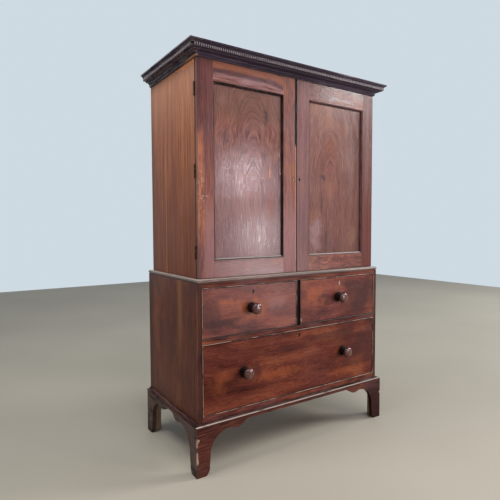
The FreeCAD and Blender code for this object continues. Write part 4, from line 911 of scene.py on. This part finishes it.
# %% Turn the knobs
KNOB_REACH = 0.056
KNOB_STEPS = 72
NECK_REACH = 0.0255
KNOB_OUTLINE = [
    (0.0255, 0.0), (0.0262, 0.0015), (0.0262, 0.0035), (0.025, 0.0048), (0.0232, 0.0052), (0.0222, 0.0062),
    (0.018, 0.009), (0.0152, 0.0125), (0.0143, 0.017), (0.0148, 0.0215), (0.0175, 0.0255),
    (0.0225, 0.0292), (0.0262, 0.0335), (0.0281, 0.0385), (0.0285, 0.0425), (0.0276, 0.047),
    (0.025, 0.0512), (0.0205, 0.054), (0.014, 0.0554), (0.007, 0.0559),
]


def knob_wood(name, tones, gloss, shine):
    """Turned mahogany, paler on the face of the head from hand wear and painted front light."""
    bench = Bench(name)
    grain = Grain(bench, "y", 0.4, ribbon=0.012, length=0.05)
    bench.colour = grain.colour((0.6, 0.6, 0.3, 0.0, 0.3), tones)
    # hand wear, and painted light from the front, on the face of the head
    rubbed_and_lit_face = bench.place[1].rise(DRAWER_FACE - 0.04, DRAWER_FACE - KNOB_REACH + 0.001)
    bench.stain(rubbed_and_lit_face * 0.25, (0.21, 0.07, 0.05))
    return bench.finish(bench.patches(0.02, 2.0) * 0.08 + gloss, grain.fibre, 0.08, shine=shine)


def turned(outline, centre, steps):
    """Rings of an outline of (radius, reach) pairs, spun round an axis that runs out of the front."""
    x, y, z = centre
    angles = [2 * math.pi * step / steps for step in range(steps)]
    return [[(x + radius * math.cos(angle), y - reach, z + radius * math.sin(angle)) for angle in angles]
            for radius, reach in outline]


HEAD_WOOD = knob_wood("knob_head_wood", ((0.018, 0.006, 0.005), (0.052, 0.015, 0.012), (0.12, 0.042, 0.032)),
                      0.07, 0.5)
# near-black neck and foot: painted shade under the head, with dirt
SHADED_NECK_WOOD = knob_wood("knob_neck_shade", ((0.003, 0.002, 0.002), (0.008, 0.004, 0.004), (0.02, 0.008, 0.007)),
                      0.6, 0.05)
for body in KNOBS:
    for number, (x, z) in enumerate(KNOBS[body], 1):
        rings = turned(KNOB_OUTLINE, (x, DRAWER_FACE, z), KNOB_STEPS)
        knob = skin("%s_knob_%d" % (body, number), rings, HEAD_WOOD, SHADED_NECK_WOOD, loop=False, smooth=True)
        for face in knob.data.polygons:
            # the neck and foot take the painted-shade wood
            face.material_index = int(face.center.y > DRAWER_FACE - NECK_REACH)
        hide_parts(body + "_beads_and_knobs")
        seat(knob, body)

# %% [markdown]
# ## Cock beads
# A cock bead is a thin strip let into the edge of a drawer front, proud of it, with a rounded
# nose. It takes the knocks that would chip the face, and so it is the palest line on the chest;
# the pale also paints the highlight along it. The nose is a half circle carried round the four
# sides, mitred where the strips meet.

# %% Cock beads
BEAD_DEPTH = 0.008
BEAD_PROUD = 0.0025
BEAD_ARC_STEPS = 8
SHORT_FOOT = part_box("right_drawer_front")[0].z
GAP_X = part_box("right_drawer_front")[0].x


def bead_section():
    """Closed section of the bead as (inward, forward) pairs."""
    half = BEAD_THICK / 2
    points = [(BEAD_THICK, -BEAD_DEPTH), (0.0, -BEAD_DEPTH)]
    for step in range(BEAD_ARC_STEPS + 1):
        angle = math.pi * step / BEAD_ARC_STEPS
        points.append((half - half * math.cos(angle), BEAD_PROUD - half + half * math.sin(angle)))
    return points


def mitred(low, high, section, face_y):
    """Rings of a section carried round a rectangle seen from the front."""
    rings = []
    for inward, forward in section:
        left, right, foot, top = low.x + inward, high.x - inward, low.z + inward, high.z - inward
        corners = ((left, top), (right, top), (right, foot), (left, foot))
        rings.append([(x, face_y - forward, z) for x, z in corners])
    return rings


# a dark bead with its nose rubbed pale, which also paints its highlight, and painted shade,
# black, in the gaps beside and under the short drawers
bench = Bench("cock_bead_wood")
x, y, z = bench.place
fibre = bench.patches(0.004, 1.0, 2.0)
bench.colour = bench.ramp(fibre, (0.3, (0.02, 0.009, 0.008)), (0.7, (0.07, 0.028, 0.022)))
# wear and painted highlight on the nose
nose = y.rise(DRAWER_FACE + 0.0005, DRAWER_FACE - BEAD_PROUD * 0.8)
bench.stain(nose * bench.patches(0.06, 3.0, 4.0).rise(0.38, 0.56) * 0.85, (0.4, 0.27, 0.2))
# painted shade in the gaps beside and under the short drawers
beside = x.within(GAP_X - 0.004, GAP_X + 0.004, 0.0005) * z.rise(SHORT_FOOT - 0.002, SHORT_FOOT)
under = z.within(SHORT_FOOT - 0.001, SHORT_FOOT + 0.003, 0.001)
bench.stain(bench.sum("MAXIMUM", beside, under) * 0.9, GRIME_AND_SHADE_TONE)
BEAD_WOOD = bench.finish(0.42, fibre, 0.2)
for body in KNOBS:
    rings = mitred(*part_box(body + "_front"), bead_section(), DRAWER_FACE)
    beads = skin(body + "_cock_beads", rings, BEAD_WOOD)
    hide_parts(body + "_beads_and_knobs")
    seat(beads, body)

# %% [markdown]
# ## Screws and keyhole linings
# Each hinge leaf is held by three countersunk screws, and each lock and bolt plate by four. Two
# keyholes still have their brass lining, a thin strip bent to the keyhole's outline so the key
# doesn't chew the wood. The heads lie almost flush, each with its slot turned differently.

# %% Screws
SCREW_RADIUS = 0.003
SCREW_PROUD = 0.00015
SLOT_WIDE = 0.0004
SLOT_DEEP = 0.0006
HALF_POINTS = 10


def screw_heads(name, spots, way, body, metal):
    """Slotted heads at (x, y, z) spots, facing back when way is 1 and forward when it is -1."""
    vertices = []
    faces = []
    start = math.asin(SLOT_WIDE / SCREW_RADIUS)
    for number, (x, y, z) in enumerate(spots):
        turn = 0.5 + 0.9 * math.sin(7.3 * number + z * 10)
        floor = []
        for side in (1, -1):
            top = [len(vertices) + 2 * step for step in range(HALF_POINTS)]
            for step in range(HALF_POINTS):
                angle = side * (start + (math.pi - 2 * start) * step / (HALF_POINTS - 1)) + turn
                across, up = SCREW_RADIUS * math.cos(angle), SCREW_RADIUS * math.sin(angle)
                vertices += [(x + across, y + way * height, z + up) for height in (SCREW_PROUD, -SLOT_DEEP)]
            walls = [(a, b, b + 1, a + 1) for a, b in zip(top, top[1:] + top[:1])]
            faces += [face if side == way else face[::-1] for face in (*walls, tuple(reversed(top)))]
            floor += [top[0] + 1, top[-1] + 1][::side]
        faces.append(tuple(floor[::-way]))
    seat(new_piece(name, vertices, faces, metal), body)


HINGE_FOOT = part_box("case_hinges")[0].z
HINGE_ROWS = [round(HINGE_FOOT + 0.032 + step, 4) for step in (0.0, 0.375, 0.75)]
LEAF_X = CASE_HIGH.x - 0.0085
hinge_spots = [(LEAF_X - 0.003 * (step == 0), z + 0.022 * step) for z in HINGE_ROWS for step in (-1, 0, 1)]
case_spots = [(side * x, CASE_LOW.y, z) for side in (-1, 1) for x, z in hinge_spots]
screw_heads("case_hinge_screws", case_spots, -1, "root", HINGE)
for side, body in ((-1, "left_door"), (1, "right_door")):
    screw_heads(body + "_hinge_screws", [(side * x, DOOR_BACK, z) for x, z in hinge_spots], 1, body, HINGE)

# %% Screws of the locks and the bolt plates
CORNER_INSET = 0.006
PLATE_INSET = 0.004
PLATE_THICK = 0.002

for body in LOCKED:
    low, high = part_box(body + "_lock")
    corners = [(x, high.y, z) for x in (low.x + CORNER_INSET, high.x - CORNER_INSET)
               for z in (low.z + CORNER_INSET, high.z - CORNER_INSET)]
    screw_heads(body + "_lock_screws", corners, 1, body, BRASS)

low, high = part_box("left_door_bolt_plates")
heights = [corner.co.z for corner in NODES["left_door_bolt_plates"].data.vertices]
middle = (low.z + high.z) / 2
plate_ends = (low.z + CORNER_INSET, max(z for z in heights if z < middle) - CORNER_INSET,
              min(z for z in heights if z > middle) + CORNER_INSET, high.z - CORNER_INSET)
corners = [(x, DOOR_BACK + PLATE_THICK, z) for z in plate_ends
           for x in (low.x + PLATE_INSET, high.x - PLATE_INSET)]
screw_heads("left_door_bolt_plate_screws", corners, 1, "left_door", BRASS)

# %% Keyhole linings
EYE_RADIUS = 0.0032
EYE_STEPS = 22
EYE_RISE = 0.002
SLOT_HALF = 0.0017
SLOT_LONG = 0.011
LINING_OUTSIDE = 0.00005
LINING_THICK = 0.0012
LINING_DEEP = 0.003
LINING_PROUD = 0.0002


def keyhole_outline(inset):
    """Round eye over a straight slot, as (across, up) pairs, drawn in by the inset."""
    radius, half, long = EYE_RADIUS - inset, SLOT_HALF - inset, SLOT_LONG - inset
    start = -math.acos(half / radius)
    sweep = 2 * math.pi - 2 * (math.pi / 2 + start)
    angles = [start + sweep * step / EYE_STEPS for step in range(EYE_STEPS + 1)]
    eye = [(radius * math.cos(angle), radius * math.sin(angle)) for angle in angles]
    return eye + [(-half, -long), (half, -long)]


def keyhole_lining(name, x, face, z, body):
    """Brass strip round the inside of a keyhole."""
    section = ((LINING_OUTSIDE, LINING_PROUD), (LINING_THICK, LINING_PROUD),
               (LINING_THICK, -LINING_DEEP), (LINING_OUTSIDE, -LINING_DEEP))
    rings = [[(x + across, face - forward, z + up) for across, up in keyhole_outline(inset)]
             for inset, forward in section]
    seat(skin(name, rings, PALE_BRASS), body)


keyhole_lining("left_door_keyhole_lining", LEFT_STILES[1].x - KEY_INSET, DOOR_FACE, KEY_HIGH, "left_door")
x, z = KEYHOLES["right_drawer"]
keyhole_lining("right_drawer_keyhole_lining", x, DRAWER_FACE, z + EYE_RISE, "right_drawer")

# %% [markdown]
# ## The stage
# A pale floor carries the shadow, and the world is an even grey that the camera and the polish
# see as a bright wall. Light Path tells those rays from the rest, so the background can be
# bright without throwing more light on the wood.

# %% Floor and world
FLOOR_SIZE = 14.0
FLOOR_TONES = ((0.3, (0.36, 0.33, 0.27)), (0.7, (0.41, 0.38, 0.31)))
WALL_TONE = (0.62, 0.7, 0.76)
AIR_TONE = (0.21, 0.205, 0.21)

half = FLOOR_SIZE / 2
bench = Bench("pale_floor")
cloud = bench.patches(1.5, 2.0, 2.0)
bench.colour = bench.ramp(cloud, *FLOOR_TONES)
corners = [(-half, -half, 0.0), (half, -half, 0.0), (half, half, 0.0), (-half, half, 0.0)]
new_piece("pale_floor", corners, [(0, 1, 2, 3)], bench.finish(0.6, cloud, 0.02))

# the camera and mirrors see the wall's tone, and the air's tone lights the rest
world = bpy.data.worlds.new("pale_room")
world.use_nodes = True
tree = world.node_tree
seen = tree.nodes.new("ShaderNodeLightPath")
shown = seen.outputs["Is Camera Ray"]
for ray in ("Is Glossy Ray", "Is Transmission Ray"):
    either = tree.nodes.new("ShaderNodeMath")
    either.operation = "MAXIMUM"
    tree.links.new(shown, either.inputs[0])
    tree.links.new(seen.outputs[ray], either.inputs[1])
    shown = either.outputs[0]
tone = tree.nodes.new("ShaderNodeMix")
tone.data_type = "RGBA"
tree.links.new(shown, tone.inputs[0])
tone.inputs[6].default_value = (*AIR_TONE, 1.0)
tone.inputs[7].default_value = (*WALL_TONE, 1.0)
tree.links.new(tone.outputs[2], tree.nodes["Background"].inputs["Color"])
bpy.context.scene.world = world
bpy.context.scene.view_settings.view_transform = "Standard"
print("stage set")

# %% [markdown]
# ## Soft light
# A broad key from the right and a softer light from high in front model the fronts and knobs,
# and a lamp high at the left fades down the side of the case. Polished wood also shows what it
# mirrors, so five dim windows stand where their mirror images fall on the doors: a tall one and
# a slit for the bright uprights on the left panel, a low one for the bottom rail, a wide one for
# the veil of gloss and a high one for the right door's top rail.

# %% Lights
def soft_box(name, place, target, width, height, power, tone=(1.0, 1.0, 1.0)):
    """Rectangular area light aimed at a point."""
    data = bpy.data.lights.new(name, "AREA")
    data.shape = "RECTANGLE"
    data.size = width
    data.size_y = height
    data.energy = power
    data.color = tone
    lamp = bpy.data.objects.new(name, data)
    bpy.context.scene.collection.objects.link(lamp)
    lamp.location = place
    lamp.rotation_mode = "QUATERNION"
    lamp.rotation_quaternion = (Vector(target) - Vector(place)).to_track_quat("-Z", "Y")


soft_box("key_light", (7.5, -3.0, 3.8), (0.0, -0.2, 0.9), 2.6, 2.2, 620)
soft_box("high_front_light", (-0.5, -3.5, 6.0), (0.0, -0.2, 1.0), 2.2, 2.2, 125)
soft_box("tall_window", (1.57, -3.2, 1.81), (-0.3, -0.25, 1.1), 0.16, 0.46, 13, (1.0, 0.85, 0.91))
soft_box("slit_window", (1.8, -3.2, 1.05), (-0.2, -0.25, 1.1), 0.08, 0.5, 9, (0.96, 0.96, 1.0))
soft_box("low_window", (1.95, -3.2, 0.38), (-0.1, -0.25, 0.9), 0.9, 0.5, 11, (0.97, 0.95, 1.0))
soft_box("wide_window", (2.4, -3.2, 1.2), (-0.1, -0.25, 1.0), 2.4, 1.8, 6, (1.0, 0.93, 0.96))
soft_box("high_window", (3.38, -3.2, 3.14), (0.4, -0.25, 1.9), 0.5, 0.22, 15)
soft_box("left_lamp", (-1.75, -0.1, 3.1), (-0.6, 0.0, 1.4), 1.0, 1.0, 50)
print("lights placed")
